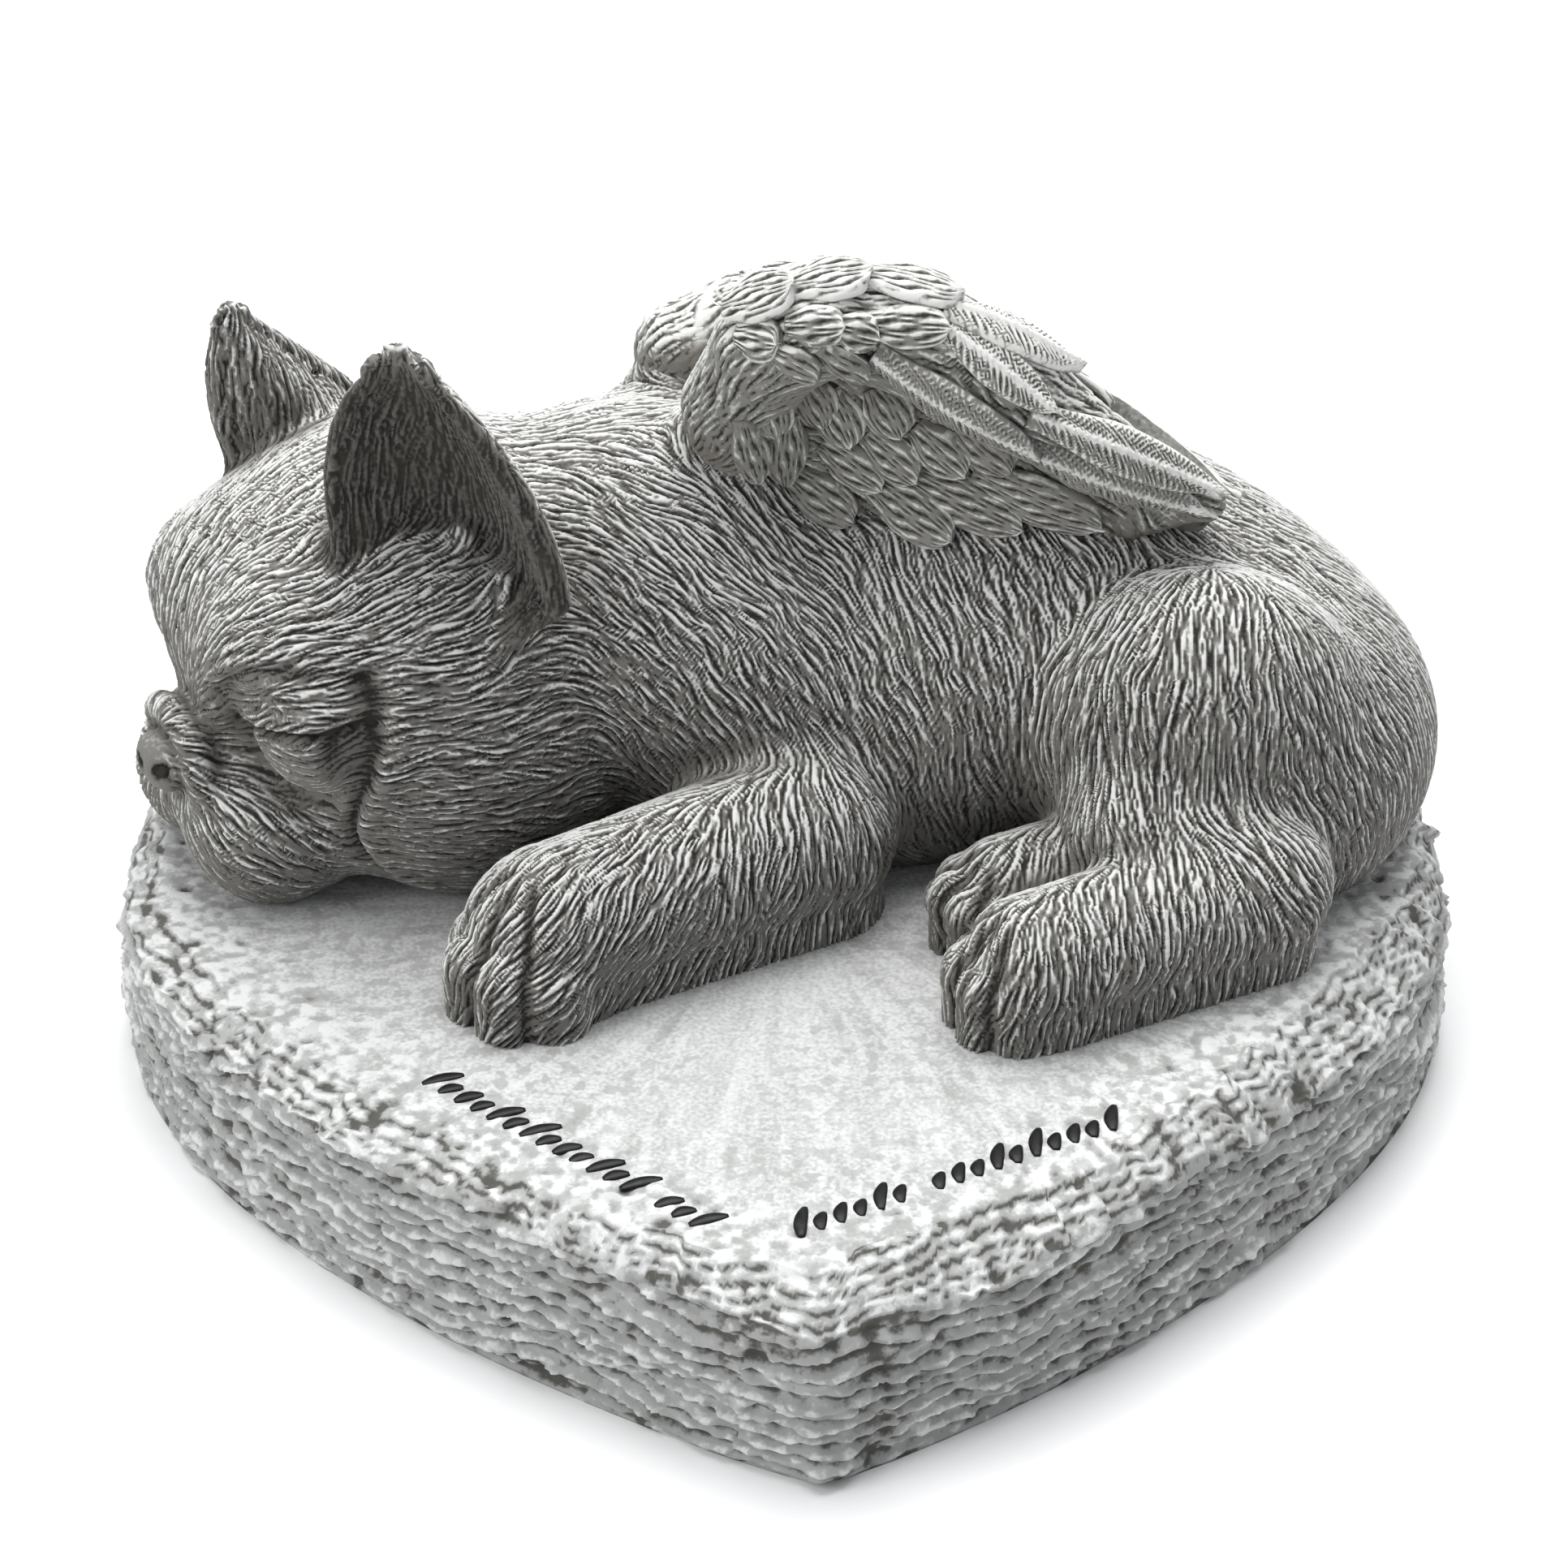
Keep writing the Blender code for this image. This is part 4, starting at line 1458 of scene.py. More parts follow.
@dataclass
class Wing:
    """A folded wing: a rolled leading edge, the wall that hangs below it and its feathers.

    Rim is the middle of the roll and foot the lower edge of the wall. Facing is −1 where the
    outer side looks to −Y, and 1 where it looks to +Y. Low and high are the corners of the
    lattice, flat how much the roll is squeezed sideways behind its third span, and limit the
    most triangles of the core and of the feathers.
    """

    name: str
    rim: np.ndarray
    radii: np.ndarray
    foot: np.ndarray
    facing: float
    low: Triple
    high: Triple
    limit: int
    split: int = 4
    step: float = 1.8
    flat: float = 1.55
    plumes: tuple[Plume, ...] = ()

    def core(self, points: np.ndarray) -> np.ndarray:
        """Distance to the roll and the wall.

        The roll is round for the first three spans and flattened sideways after them. The wall
        is a 4.4 mm sheet from the roll's middle, WALL_INSET inwards, to the foot line.

        Args:
            points: Rows of x, y, z.

        Returns:
            One distance a point.
        """
        roll = np.full(len(points), FAR_OFF)
        squeeze = np.array([1.0, self.flat, 1.0])
        for k in range(len(self.rim) - 1):
            a, b = self.rim[k], self.rim[k + 1]
            if k < 3:
                bar = limb(points, a, b, self.radii[k], self.radii[k + 1])
            else:
                bar = limb(points * squeeze, a * squeeze, b * squeeze, self.radii[k],
                           self.radii[k + 1]) / 1.25
            roll = soft_union(roll, bar, 1.0)
        x = points[:, 0]
        order = np.argsort(self.rim[1:, 0])
        top_y = np.interp(x, self.rim[1:, 0][order], self.rim[1:, 1][order])
        top_y = top_y - self.facing * WALL_INSET
        top_z = np.interp(x, self.rim[1:, 0][order], self.rim[1:, 2][order])
        low_y = np.interp(x, self.foot[:, 0], self.foot[:, 1])
        low_z = np.interp(x, self.foot[:, 0], self.foot[:, 2])
        drop = np.stack([low_y - top_y, low_z - top_z], axis=1)
        offset = np.stack([points[:, 1] - top_y, points[:, 2] - top_z], axis=1)
        share = np.clip(np.sum(offset * drop, axis=1) / np.sum(drop * drop, axis=1), 0, 1)
        gap = np.linalg.norm(offset - share[:, None] * drop, axis=1)
        beyond = np.maximum(np.maximum(self.rim[1, 0] - x, x - self.rim[-1, 0]), 0.0)
        wall = np.hypot(gap, beyond) - 2.2
        return soft_union(roll, wall, 2.0)

    def rows(self, facing: float) -> list[Feather]:
        """Three rows of feathers down one side of the wall.

        Each tier says at which shares of the rim it starts and ends, its count, how far down the
        wall its feathers start and end, how far they sweep back and how wide they are.

        Args:
            facing: Side of the wall, as for the wing itself.

        Returns:
            The feathers.
        """
        found = []
        back = np.array([0.0, -self.facing * WALL_INSET, 0.0])
        outward = np.array([0.0, facing, 0.0])
        sweep = np.array([1.0, 0.0, 0.0])
        tiers = (
            (0.30, 0.90, 8, 0.55, 1.0, 11, 9.5),
            (0.24, 0.84, 8, 0.30, 0.78, 8, 9.0),
            (0.24, 0.78, 8, 0.02, 0.48, 6, 9.0),
        )
        for number, (first, last, count, top, bottom, lean, width) in enumerate(tiers):
            shares = np.linspace(first, last, count)
            roof = along(self.rim, shares) + back
            floor = along(self.foot, shares)
            for k in range(count):
                hang = roof[k] * (1 - top) + floor[k] * top
                reach = roof[k] * (1 - bottom) + floor[k] * bottom
                lift = outward * (2.4 + 0.9 * number)
                root, tip = hang + lift * 0.6, reach + lift + sweep * lean
                found.append(Feather(root, tip, outward, width, **PLAIN))
        return found

    def plates(self, facing: float, turns: tuple[float, ...]) -> list[Feather]:
        """Overlapping plates along the rolled edge.

        Args:
            facing: Side of the wing that they lie on.
            turns: Angles from the top of the roll, one for each row of plates.

        Returns:
            The feathers.
        """
        found = []
        for turn in turns:
            for share in np.linspace(0.12, 0.74, 8):
                radius = float(np.interp(share * 7, range(8), self.radii))
                aside = facing * radius * np.sin(turn) * 0.8
                lean = np.array([0.0, aside, radius * np.cos(turn) * 0.92])
                start = along(self.rim, np.array([share]))[0] + lean
                end = along(self.rim, np.array([share + 0.13]))[0] + lean * 1.08
                found.append(Feather(start, end, lean, 8.0, **PLAIN))
        return found

    def flight(self, facing: float) -> list[Feather]:
        """Long quilled feathers to the tip, on one side.

        Args:
            facing: Side of the wing that they lie on.

        Returns:
            The feathers.
        """
        found = []
        outward = np.array([0.0, facing, 0.0])
        for offset, first in ((6.0, 0.45), (2.5, 0.55), (-1.0, 0.6)):
            start = along(self.rim, np.array([first]))[0] + outward * 4.5
            start = start - np.array([0, 0, offset])
            end = self.rim[-1] + outward * 1.2 + np.array([1.0 - offset, 0, 0.5 - offset * 0.4])
            found.append(Feather(start, end, outward, 7.5, quill=True, **PLAIN))
        return found

    def feathers(self) -> list[Feather]:
        """Every feather of this wing.

        Returns:
            The listed feathers, and rows on the sides that have none listed.
        """
        found = []
        for plume in self.plumes:
            up = np.asarray(plume.up, float)
            root = np.asarray(plume.root, float) - up * 0.3
            tip = np.asarray(plume.tip, float) + up * (1.3 if plume.quill else 0.9)
            found.append(Feather(root, tip, up, plume.width, 1.3, plume.quill))
        if not self.plumes:
            found += self.rows(self.facing) + self.plates(self.facing, (0.2, 0.95))
            found += self.flight(self.facing)
        behind = -self.facing
        found += self.rows(behind) + self.plates(behind, (0.75, 1.5))
        return found + self.flight(behind)

    def openness(self, verts: np.ndarray, normals: np.ndarray) -> np.ndarray:
        """How freely light comes to points on the wing.

        Args:
            verts: Rows of x, y, z.
            normals: Outward directions there.

        Returns:
            A share from 0 to 1 a point, from the room 4 and 12 mm out.
        """

        def solid(places: np.ndarray) -> np.ndarray:
            """Distance to the wing's core and the trunk."""
            return np.minimum(self.core(places), Puppy().trunk(places))

        close = np.clip(solid(verts + normals * 4.0) / 4.0, 0, 1)
        return close * np.clip(solid(verts + normals * 12.0) / 11.0, 0.1, 1)

    def barb_way(self, spots: np.ndarray) -> np.ndarray:
        """The way that the core's carved barbs run: along the roll, and down the wall below it.

        Args:
            spots: Rows of x, y, z.

        Returns:
            One direction a spot, not yet of unit length.
        """
        x, rim = spots[:, 0], self.rim[1:]
        heading = np.stack(
            [np.interp(x, rim[:, 0], np.gradient(rim[:, axis])) for axis in range(3)], axis=1
        )
        below = smooth_step(-2.0, -9.0, spots[:, 2] - np.interp(x, rim[:, 0], rim[:, 2]))
        return heading + below[:, None] * np.array([2.0, 0.0, -9.0])

    def carved_core(self) -> Shell:
        """Build the roll and the wall.

        Returns:
            One shell with barbs carved in it.
        """
        lattice = Lattice.over(self.low, self.high, self.step)
        spots = lattice.points()
        body = self.core(spots)
        verts, quads = split_quads(*net_surface(body, lattice), self.split)
        verts = settle_on(self.core, verts, 2)
        normals = field_normals(self.core, verts)
        strands = smear(lattice, body, self.barb_way(spots), verts, 0.95, 5.0)
        ridge = np.tanh(strands)
        verts = verts + normals * (0.25 * (ridge - 0.2))[:, None]
        values = {
            "relief": 0.5 + 0.5 * ridge,
            "open": self.openness(verts, normals),
            "upward": normals[:, 2],
        }
        return Shell(verts, quads, values)

    def plumage(self) -> Shell:
        """Build the feathers.

        Returns:
            All of them as one shell.
        """
        places, faces, tones = [], [], []
        total = 0
        for number, feather in enumerate(self.feathers()):
            verts, quads, tone = feather.shell(number)
            places.append(verts)
            faces.append(quads + total)
            tones.append(tone)
            total += len(verts)
        verts = np.concatenate(places)
        lie = field_normals(self.core, verts, 1.0)
        values = {
            "relief": np.concatenate(tones),
            "open": self.openness(verts, lie),
            "upward": lie[:, 2],
        }
        return Shell(verts, np.concatenate(faces), values)

    def shells(self) -> list[tuple[str, Shell]]:
        """The core and the feathers, each with its name."""
        core, plumage = self.carved_core(), self.plumage()
        return [(self.name + "_core", core), (self.name + "_feathers", plumage)]


NEAR_PLUMES = (
    # The wall under the roll
    Plume((0.7, 30.1, 89.9), (10.4, 27.4, 83.2), (-0.19, -0.92, 0.35), 7.5),
    Plume((13.4, 27.6, 89.2), (24.8, 22.0, 83.0), (-0.17, -0.88, 0.44), 8.0),
    Plume((19.5, 26.3, 91.3), (35.0, 23.2, 84.5), (-0.18, -0.91, 0.37), 8.0),
    Plume((28.0, 24.8, 92.9), (46.6, 22.9, 85.8), (-0.1, -0.99, -0.04), 8.4),
    Plume((-5.9, 22.7, 102.4), (-4.2, 27.2, 91.5), (0.13, -0.95, -0.28), 5.6),
    Plume((0.4, 26.0, 101.5), (-0.2, 30.1, 89.5), (0.3, -0.92, -0.28), 7.0),
    Plume((5.7, 28.7, 95.6), (14.6, 27.3, 89.7), (-0.19, -0.98, -0.05), 7.2),
    Plume((12.1, 27.4, 97.7), (19.8, 26.3, 91.5), (-0.18, -0.98, -0.05), 7.6),
    Plume((19.3, 26.0, 99.9), (26.8, 24.9, 93.3), (-0.16, -0.99, -0.04), 7.6),
    Plume((26.0, 25.0, 100.5), (33.5, 23.8, 94.5), (-0.14, -0.99, -0.04), 7.4),
    Plume((-3.0, 26.5, 106.8), (-1.1, 24.8, 99.7), (0.05, -0.95, -0.3), 7.0),
    Plume((2.6, 27.4, 107.3), (5.9, 28.3, 100.0), (-0.03, -0.97, -0.25), 7.6),
    Plume((6.2, 28.1, 104.6), (10.0, 28.0, 96.5), (-0.14, -0.98, -0.11), 7.8),
    Plume((13.2, 26.8, 105.9), (17.4, 26.5, 99.0), (-0.14, -0.99, -0.09), 8.0),
    # Flight feathers
    Plume((33.5, 17.6, 101.7), (61.5, 20.5, 90.1), (0.1, -0.99, -0.06), 6.4, True),
    Plume((35.7, 16.7, 107.0), (63.0, 21.0, 92.2), (0.4, -0.86, 0.32), 7.6, True),
    Plume((22.9, 21.4, 122.0), (41.2, 21.8, 111.0), (0.57, -0.31, 0.77), 7.6, True),
    Plume((23.5, 19.7, 119.2), (38.4, 17.2, 107.4), (0.28, -0.89, 0.37), 7.0, True),
    Plume((12.9, 19.3, 115.4), (36.2, 17.1, 102.0), (-0.16, -0.97, -0.17), 7.4, True),
    # The lip under the roll, and the plates round it
    Plume((5.2, 17.7, 117.2), (12.1, 20.2, 111.9), (-0.19, -0.95, -0.23), 5.2),
    Plume((-1.5, 19.0, 116.0), (5.2, 18.6, 112.9), (-0.19, -0.95, -0.23), 5.6),
    Plume((-6.7, 22.6, 116.7), (-0.2, 19.1, 117.1), (-0.46, -0.82, 0.35), 7.0),
    Plume((0.4, 19.6, 119.6), (8.7, 18.4, 120.5), (-0.04, -0.94, 0.34), 6.2),
    Plume((7.5, 18.1, 120.4), (13.2, 19.2, 118.3), (0.12, -0.98, 0.18), 6.2),
    Plume((11.7, 19.7, 119.8), (23.2, 19.5, 119.6), (0.28, -0.91, 0.32), 6.6),
    Plume((-8.5, 25.5, 119.5), (1.9, 22.1, 124.2), (-0.48, -0.46, 0.74), 8.6),
    Plume((1.2, 22.9, 124.3), (12.4, 24.2, 125.0), (-0.19, -0.36, 0.91), 8.4),
    Plume((11.7, 24.9, 125.3), (24.8, 22.5, 122.2), (0.34, -0.26, 0.9), 8.0),
)

NEAR_WING = Wing(
    "near_wing",
    np.array([(-7, 36, 88), (-7, 32, 100), (-2, 28, 112), (6, 26, 118), (20, 24, 115),
              (33, 22, 107.5), (46, 21, 98), (63, 22, 90)], float),
    np.array([7.5, 8, 8.3, 8.4, 8.8, 8.2, 6.2, 2.2]),
    np.array([(-10, 38, 84), (-6, 35, 82), (0, 33, 81), (10, 31, 79), (25, 28, 77),
              (39, 26, 79), (50, 25, 83), (61, 23, 88)], float),
    facing=-1.0,
    low=(-20.0, 8.0, 70.0),
    high=(72.0, 50.0, 130.0),
    limit=68000,
    plumes=NEAR_PLUMES,
)
FAR_WING = Wing(
    "far_wing",
    np.array([(-15.5, 60, 84), (-15.5, 60, 95), (-7, 61, 99), (4, 64, 98), (18, 69, 93),
              (32, 75, 84), (46, 80, 73), (60, 82, 62)], float),
    np.array([7.5, 7.5, 7.5, 7.5, 7.0, 6.0, 4.0, 2.2]),
    np.array([(-18, 64, 78), (-14, 68, 76), (-2, 71, 72), (8, 74, 66), (18, 77, 60),
              (32, 80, 55), (46, 82, 55), (59, 82, 60)], float),
    facing=1.0,
    low=(-26.0, 50.0, 50.0),
    high=(68.0, 96.0, 110.0),
    limit=32000,
    split=3,
)


WINGS = (NEAR_WING, FAR_WING)


# The base

TERRACE = 1.15
SIDE_LIT = 0.35
TOP_LIT = 0.7


@dataclass
class HeartSlab:
    """The heart slab with ledges broken into its side and flakes off its rim.

    Half_width, widest and reach give the front: half its width, the y of its widest line and
    how far its point stands in front of y = 0. The lobes behind are superellipses. Offset is how
    far the point leans to the right, and ledge the height of a layer. Noise shapes the large forms
    and rough the small ones.
    """

    half_width: float = 102.5
    height: float = BASE_TOP
    widest: float = 15.0
    reach: float = 91.0
    lobe_half: float = 56.0
    lobe_reach: float = 76.0
    squareness: float = 2.2
    offset: float = 5.0
    ledge: float = 2.5
    middle: tuple[float, float] = (0.0, 5.0)
    columns: int = 900
    side_rows: int = 60
    smoothing: int = 36
    noise: Noise = field(default_factory=lambda: Noise(LEDGE_SEED))
    rough: Noise = field(default_factory=lambda: Noise(GRIT_SEED))

    def outline(self) -> np.ndarray:
        """Points round the heart, anticlockwise from its point.

        In front of the widest line, half the width is half·(1 − t^1.8)^0.9 with t from 0 there
        to 1 at the point. Behind it each lobe is a superellipse. Repeated averaging with both
        neighbours then rounds the point.

        Returns:
            Rows of x, y.
        """
        share = np.linspace(1.0, 0.0, 300)
        drop = self.widest - share * (self.widest + self.reach)
        skew = self.offset * np.clip(-drop - 20, 0, None) ** 2 / (self.reach - 20) ** 2
        front = np.stack([self.half_width * (1 - share**1.8) ** 0.9, drop], axis=1)
        power = 2 / self.squareness
        centre = self.half_width - self.lobe_half
        cleft = np.pi - np.arccos(min(1.0, centre / self.lobe_half) ** (1 / power))
        angle = np.linspace(0.0, cleft, 300)[1:]
        across = np.sign(np.cos(angle)) * np.abs(np.cos(angle)) ** power
        back = np.stack([centre + self.lobe_half * across,
                         self.widest + self.lobe_reach * np.sin(angle) ** power], axis=1)
        half = np.concatenate([front, back])
        lean = np.concatenate([skew, np.zeros(len(back))])[:, None] * np.array([1.0, 0.0])
        left = (half * np.array([-1.0, 1.0]) + lean)[::-1]
        loop = np.concatenate([half + lean, left[1:]])
        step = np.hypot(*np.diff(loop, axis=0).T)
        step = step * np.where(loop[1:, 1] > 30.0, 0.55, 1.0)
        run = np.concatenate([[0.0], np.cumsum(step)])
        even = np.linspace(0.0, run[-1], self.columns, endpoint=False)
        ring = np.stack([np.interp(even, run, loop[:, 0]), np.interp(even, run, loop[:, 1])], 1)
        for _ in range(self.smoothing):
            ring = (np.roll(ring, 1, 0) + 2 * ring + np.roll(ring, -1, 0)) / 4
        return ring

    def rim(self, outline: np.ndarray) -> tuple[np.ndarray, np.ndarray]:
        """How far the rim has worn down, and how far in. It is worn most on the front right.

        Args:
            outline: Rows of x, y.

        Returns:
            A drop and a width a point, in mm.
        """
        flat = np.concatenate([outline, outline[:, :1] * 0], axis=1)
        slope = smooth_step(50.0, 85.0, 0.7 * (outline[:, 0] - outline[:, 1]))
        drop = 2.0 + 3.4 * self.noise(flat, (24.0, 24.0, 9.0)) + 2.0 * slope
        width = 4.5 + 6.0 * self.noise(flat + 50.0, (20.0, 20.0, 9.0)) + 3.5 * slope
        return drop, width

    def strata(self, spot: np.ndarray) -> tuple[np.ndarray, np.ndarray]:
        """Broken layers on the side: how far each point stands out, and its tone, with painted
        light and shade.

        A layer stands out most at its foot and recedes upwards as (1 − t)^1.3, so that each has
        a lit slope above and an undercut below. Faults shift the layers against each other.

        Args:
            spot: Rows of x, y, z on the side.

        Returns:
            A push outwards in mm, and a tone from 0 to 1 a spot with painted highlight on the lips
            and painted shadow under them and in the crease.
        """
        noise, rough = self.noise, self.rough
        wave = 3.2 * noise(spot, (34.0, 34.0, 60.0)) + 1.5 * noise(spot, (11.0, 11.0, 8.0))
        wave = wave + 0.4 * np.floor(2.0 * noise(spot + 30.0, (17.0, 17.0, 7.0)))
        wave = wave + 0.45 * rough(spot, (4.0, 4.0, 3.0))
        part = (spot[:, 2] / self.ledge + wave) % 1.0
        lip = (1 - part) ** 1.3 * smooth_step(0.0, 0.16, part)
        strength = 0.45 + 0.55 * smooth_step(0.25, 0.7, rough(spot, (14.0, 14.0, 3.0)))
        lump = np.abs(rough(spot, (3.4, 3.4, 2.0)) - 0.5) * 2
        grit = rough(spot, (1.4, 1.4, 1.0)) - 0.5
        block = noise(spot, (16.0, 16.0, 9.0)) - 0.5
        crease = np.exp(-(((spot[:, 0] - 12.5 - 2 * block) / 1.6) ** 2)) * (spot[:, 1] < -60.0)
        nub = np.exp(-(((spot[:, 0] - 6.0) / 3.0) ** 2)) * smooth_step(7.0, 2.0, spot[:, 2])
        push = 2.4 * lip * strength - 1.0 * lump - 0.8 * grit + 1.6 * block
        push = push - 0.9 * crease + 1.8 * nub * (spot[:, 1] < -60.0)
        # Painted shadow under each lip
        under = smooth_step(0.66, 0.9, part) + smooth_step(0.08, 0.0, part)
        # Painted highlight on the lips and painted shadow under them
        tone = 0.42 + 1.0 * lip**1.6 * strength - 0.55 * np.clip(under, 0, 1) * strength
        # Painted shade in the crease; also darker where lumps and grit push the surface in
        tone = tone - 0.28 * lump - 0.85 * grit - 0.3 * crease
        tone = tone + 0.4 * (rough(spot, (7.0, 7.0, 4.0)) - 0.5)
        return push, np.clip(tone, 0.0, 1.0)

    def side(self, outline: np.ndarray, drop: np.ndarray) -> tuple[np.ndarray, np.ndarray]:
        """Carry the outline up the side, pushed in and out by the strata.

        Args:
            outline: Rows of x, y.
            drop: How far the rim has worn down at each.

        Returns:
            Rings of x, y, z from the foot to the rim, and a tone for each place.
        """
        tangent = np.roll(outline, -1, 0) - np.roll(outline, 1, 0)
        out = np.stack([tangent[:, 1], -tangent[:, 0]], axis=1)
        out /= np.linalg.norm(out, axis=1, keepdims=True)
        rise = np.linspace(0.0, 1.0, self.side_rows)[:, None] * (self.height - drop)[None, :]
        ring = np.broadcast_to(outline, (self.side_rows,) + outline.shape)
        spot = np.concatenate([ring, rise[..., None]], axis=-1).reshape(-1, 3)
        push, tone = self.strata(spot)
        foot = smooth_step(0.0, 1.6, spot[:, 2])
        flare = 1.2 * (1 - spot[:, 2] / self.height)
        round_off = 1.6 * smooth_step(0.86, 1.0, spot[:, 2] / self.height)
        shift = (flare + (push - 0.3) * foot - 0.4 - round_off).reshape(self.side_rows, -1)
        return np.concatenate([ring + out[None] * shift[..., None], rise[..., None]], axis=-1), tone

    def cover(
        self, rim: np.ndarray, drop: np.ndarray, width: np.ndarray
    ) -> tuple[np.ndarray, np.ndarray]:
        """Carry the rim in over the top, which falls to it in worn terraces with pits and grain.

        Args:
            rim: Ring of x, y, z where the side ends.
            drop: How far the rim has worn down at each place.
            width: How far in the wear reaches.

        Returns:
            Rings of x, y, z from the rim to the middle, and a tone for each place.
        """
        noise, rough = self.noise, self.rough
        middle = np.array(self.middle)
        span = np.linalg.norm(rim[:, :2] - middle, axis=1)
        close = np.concatenate([np.linspace(0.5, 17.0, 31), np.array([18.5, 20.5, 23.0])])
        share = close[:, None] / span[None]
        rest = np.array([0.06, 0.14, 0.24, 0.36, 0.5, 0.64, 0.78, 0.9, 0.985])[:, None]
        share = np.concatenate([share, share[-1:] + (1 - share[-1:]) * rest])
        plan = rim[None, :, :2] + (middle - rim[None, :, :2]) * share[..., None]
        flat = np.concatenate([plan, np.full(plan.shape[:2] + (1,), self.height)], axis=-1)
        flat = flat.reshape(-1, 3)
        depth_in = share * span[None]
        worn = drop * np.clip(1 - depth_in / width, 0, 1) ** 1.5
        worn, depth_in = worn.ravel(), depth_in.ravel()
        here = smooth_step(0.0, 0.7, worn)
        wobble = 3.4 * (noise(flat, (13.0, 13.0, 9.0)) - 0.5)
        wobble = wobble + 0.9 * (rough(flat, (3.0, 3.0, 9.0)) - 0.5)
        level = worn / TERRACE + wobble * here
        part = level - np.floor(level)
        fall = TERRACE * (np.floor(level) + smooth_step(0.6, 1.0, part)) * 0.75 + 0.25 * worn
        pit = smooth_step(0.72, 0.86, rough(flat, (2.4, 2.4, 9.0)))
        grain = rough(flat, (1.3, 1.3, 9.0)) - 0.5
        calm = smooth_step(26.0, 4.0, depth_in)
        fall = fall + (0.5 * pit + 0.5 * (rough(flat, (3.5, 3.5, 9)) - 0.3)) * calm
        fall = fall - grain * (0.08 + 0.35 * calm)
        flat[:, 2] -= np.maximum(fall, -0.3) * smooth_step(44, 22, depth_in)
        edge_line = smooth_step(0.62, 0.8, part) * smooth_step(1.0, 0.92, part) * here
        tone = 0.72 + (0.9 * grain - 0.5 * pit) * (0.25 + calm) - 0.7 * edge_line
        return flat.reshape(len(share), -1, 3), np.clip(tone, 0, 1)

    def shell(self) -> Shell:
        """Join the underside, the side and the top into one closed tube of rings.

        Returns:
            The slab, whose upward value is SIDE_LIT on the side and TOP_LIT on the top.
        """
        outline = self.outline()
        drop, width = self.rim(outline)
        side, side_tone = self.side(outline, drop)
        cover, cover_tone = self.cover(side[-1], drop, width)
        inward = np.array([0.985, 0.6, 0.25])[:, None, None]
        under = side[0][None] + (np.append(self.middle, 0.0) - side[0][None]) * inward
        verts = np.concatenate([under, side, cover], axis=0)
        under_tone = np.full(under.shape[0] * under.shape[1], 0.5)
        tone = np.concatenate([under_tone, side_tone, cover_tone])
        below = len(under) + len(side)
        lit = np.concatenate([np.full(below, SIDE_LIT), np.full(len(cover), TOP_LIT)])
        values = {
            "relief": tone,
            "open": np.ones(len(tone)),
            "upward": np.repeat(lit, self.columns),
        }
        return Shell(verts.reshape(-1, 3), tube_net(len(verts), self.columns), values)


@dataclass
class StrokeRows:
    """Two rows of slanting strokes that stand where a dedication would be.

    Each row has its start, its end and the counts of strokes before and after its gap, of which
    only the ratio matters. The sizes repeat along a row.
    """

    width: float = 2.1
    tall: float = 6.2
    pitch: float = 3.1
    slant: float = np.radians(58.0)
    bend: float = 0.35
    sizes: tuple[float, ...] = (1.0, 0.6, 0.7, 0.58, 0.92, 0.62)
    rows: tuple[tuple[tuple[float, float], tuple[float, float], tuple[int, int]], ...] = (
        ((-53.0, -40.5), (-11.7, -73.4), (7, 2)),
        ((1.0, -75.6), (49.1, -50.6), (4, 7)),
    )

    def strokes(self) -> list[tuple[np.ndarray, np.ndarray]]:
        """Place every stroke.

        Returns:
            Its foot and its head.
        """
        found = []
        for start, end, groups in self.rows:
            start, end = np.asarray(start, float), np.asarray(end, float)
            run = end - start
            length = float(np.linalg.norm(run))
            run = run / length
            up = np.array([-run[1], run[0]])
            slots = int(length / self.pitch)
            gap = int(slots * groups[0] / sum(groups))
            for slot in range(slots):
                if slot == gap:
                    continue
                size = self.sizes[slot % len(self.sizes)]
                lean = run * np.cos(self.slant) + up * np.sin(self.slant)
                foot = start + run * self.pitch * (slot + 0.5)
                found.append((foot, foot + lean * self.tall * size))
        return found

    def shell(self) -> Shell:
        """Build the strokes, each a bead width·sin(πv)^0.5 across and gently curved.

        Returns:
            All beads as one shell.
        """
        rows, cols = 15, 12
        v = np.linspace(0.0, 1.0, rows)[:, None]
        turn = np.linspace(0.0, 2 * np.pi, cols, endpoint=False)[None, :]
        stacks, faces = [], []
        net = tube_net(rows, cols)
        for number, (foot, head) in enumerate(self.strokes()):
            run = head - foot
            side = np.array([-run[1], run[0]]) / np.linalg.norm(run)
            swell = np.clip(np.sin(np.pi * (0.06 + 0.88 * v)), 0, 1) ** 0.5 * self.width / 2
            bend = self.bend * np.sin(np.pi * v)
            flat = foot + run * v[..., None] + side * (bend + swell * np.cos(turn))[..., None]
            rise = self.height(v, turn)
            stacks.append(np.concatenate([flat, rise[..., None]], axis=-1).reshape(-1, 3))
            faces.append(net + number * rows * cols)
        verts = np.concatenate(stacks)
        zero = np.zeros(len(verts))
        values = {"relief": zero, "open": zero + 1, "upward": zero}
        return Shell(verts, np.concatenate(faces), values)

    def height(self, v: np.ndarray, turn: np.ndarray) -> np.ndarray:
        """Height of a bead's surface, a low arch on the slab's top."""
        return BASE_TOP - 0.1 + 0.45 * np.sin(turn) * np.sin(np.pi * (0.1 + 0.8 * v)) ** 0.5


# Finishes

Tree = bpy.types.NodeTree
Socket = bpy.types.NodeSocket
Colour = Socket | tuple[float, ...]
# The stain colour is a brown wash together with painted shade; the Sky amount is painted light on
# upward faces
PAINTS = ("Hollow", "Body", "Rubbed", "Stain_and_shade")
AMOUNTS = ("Paint", "Grain", "Sky", "Fleck")


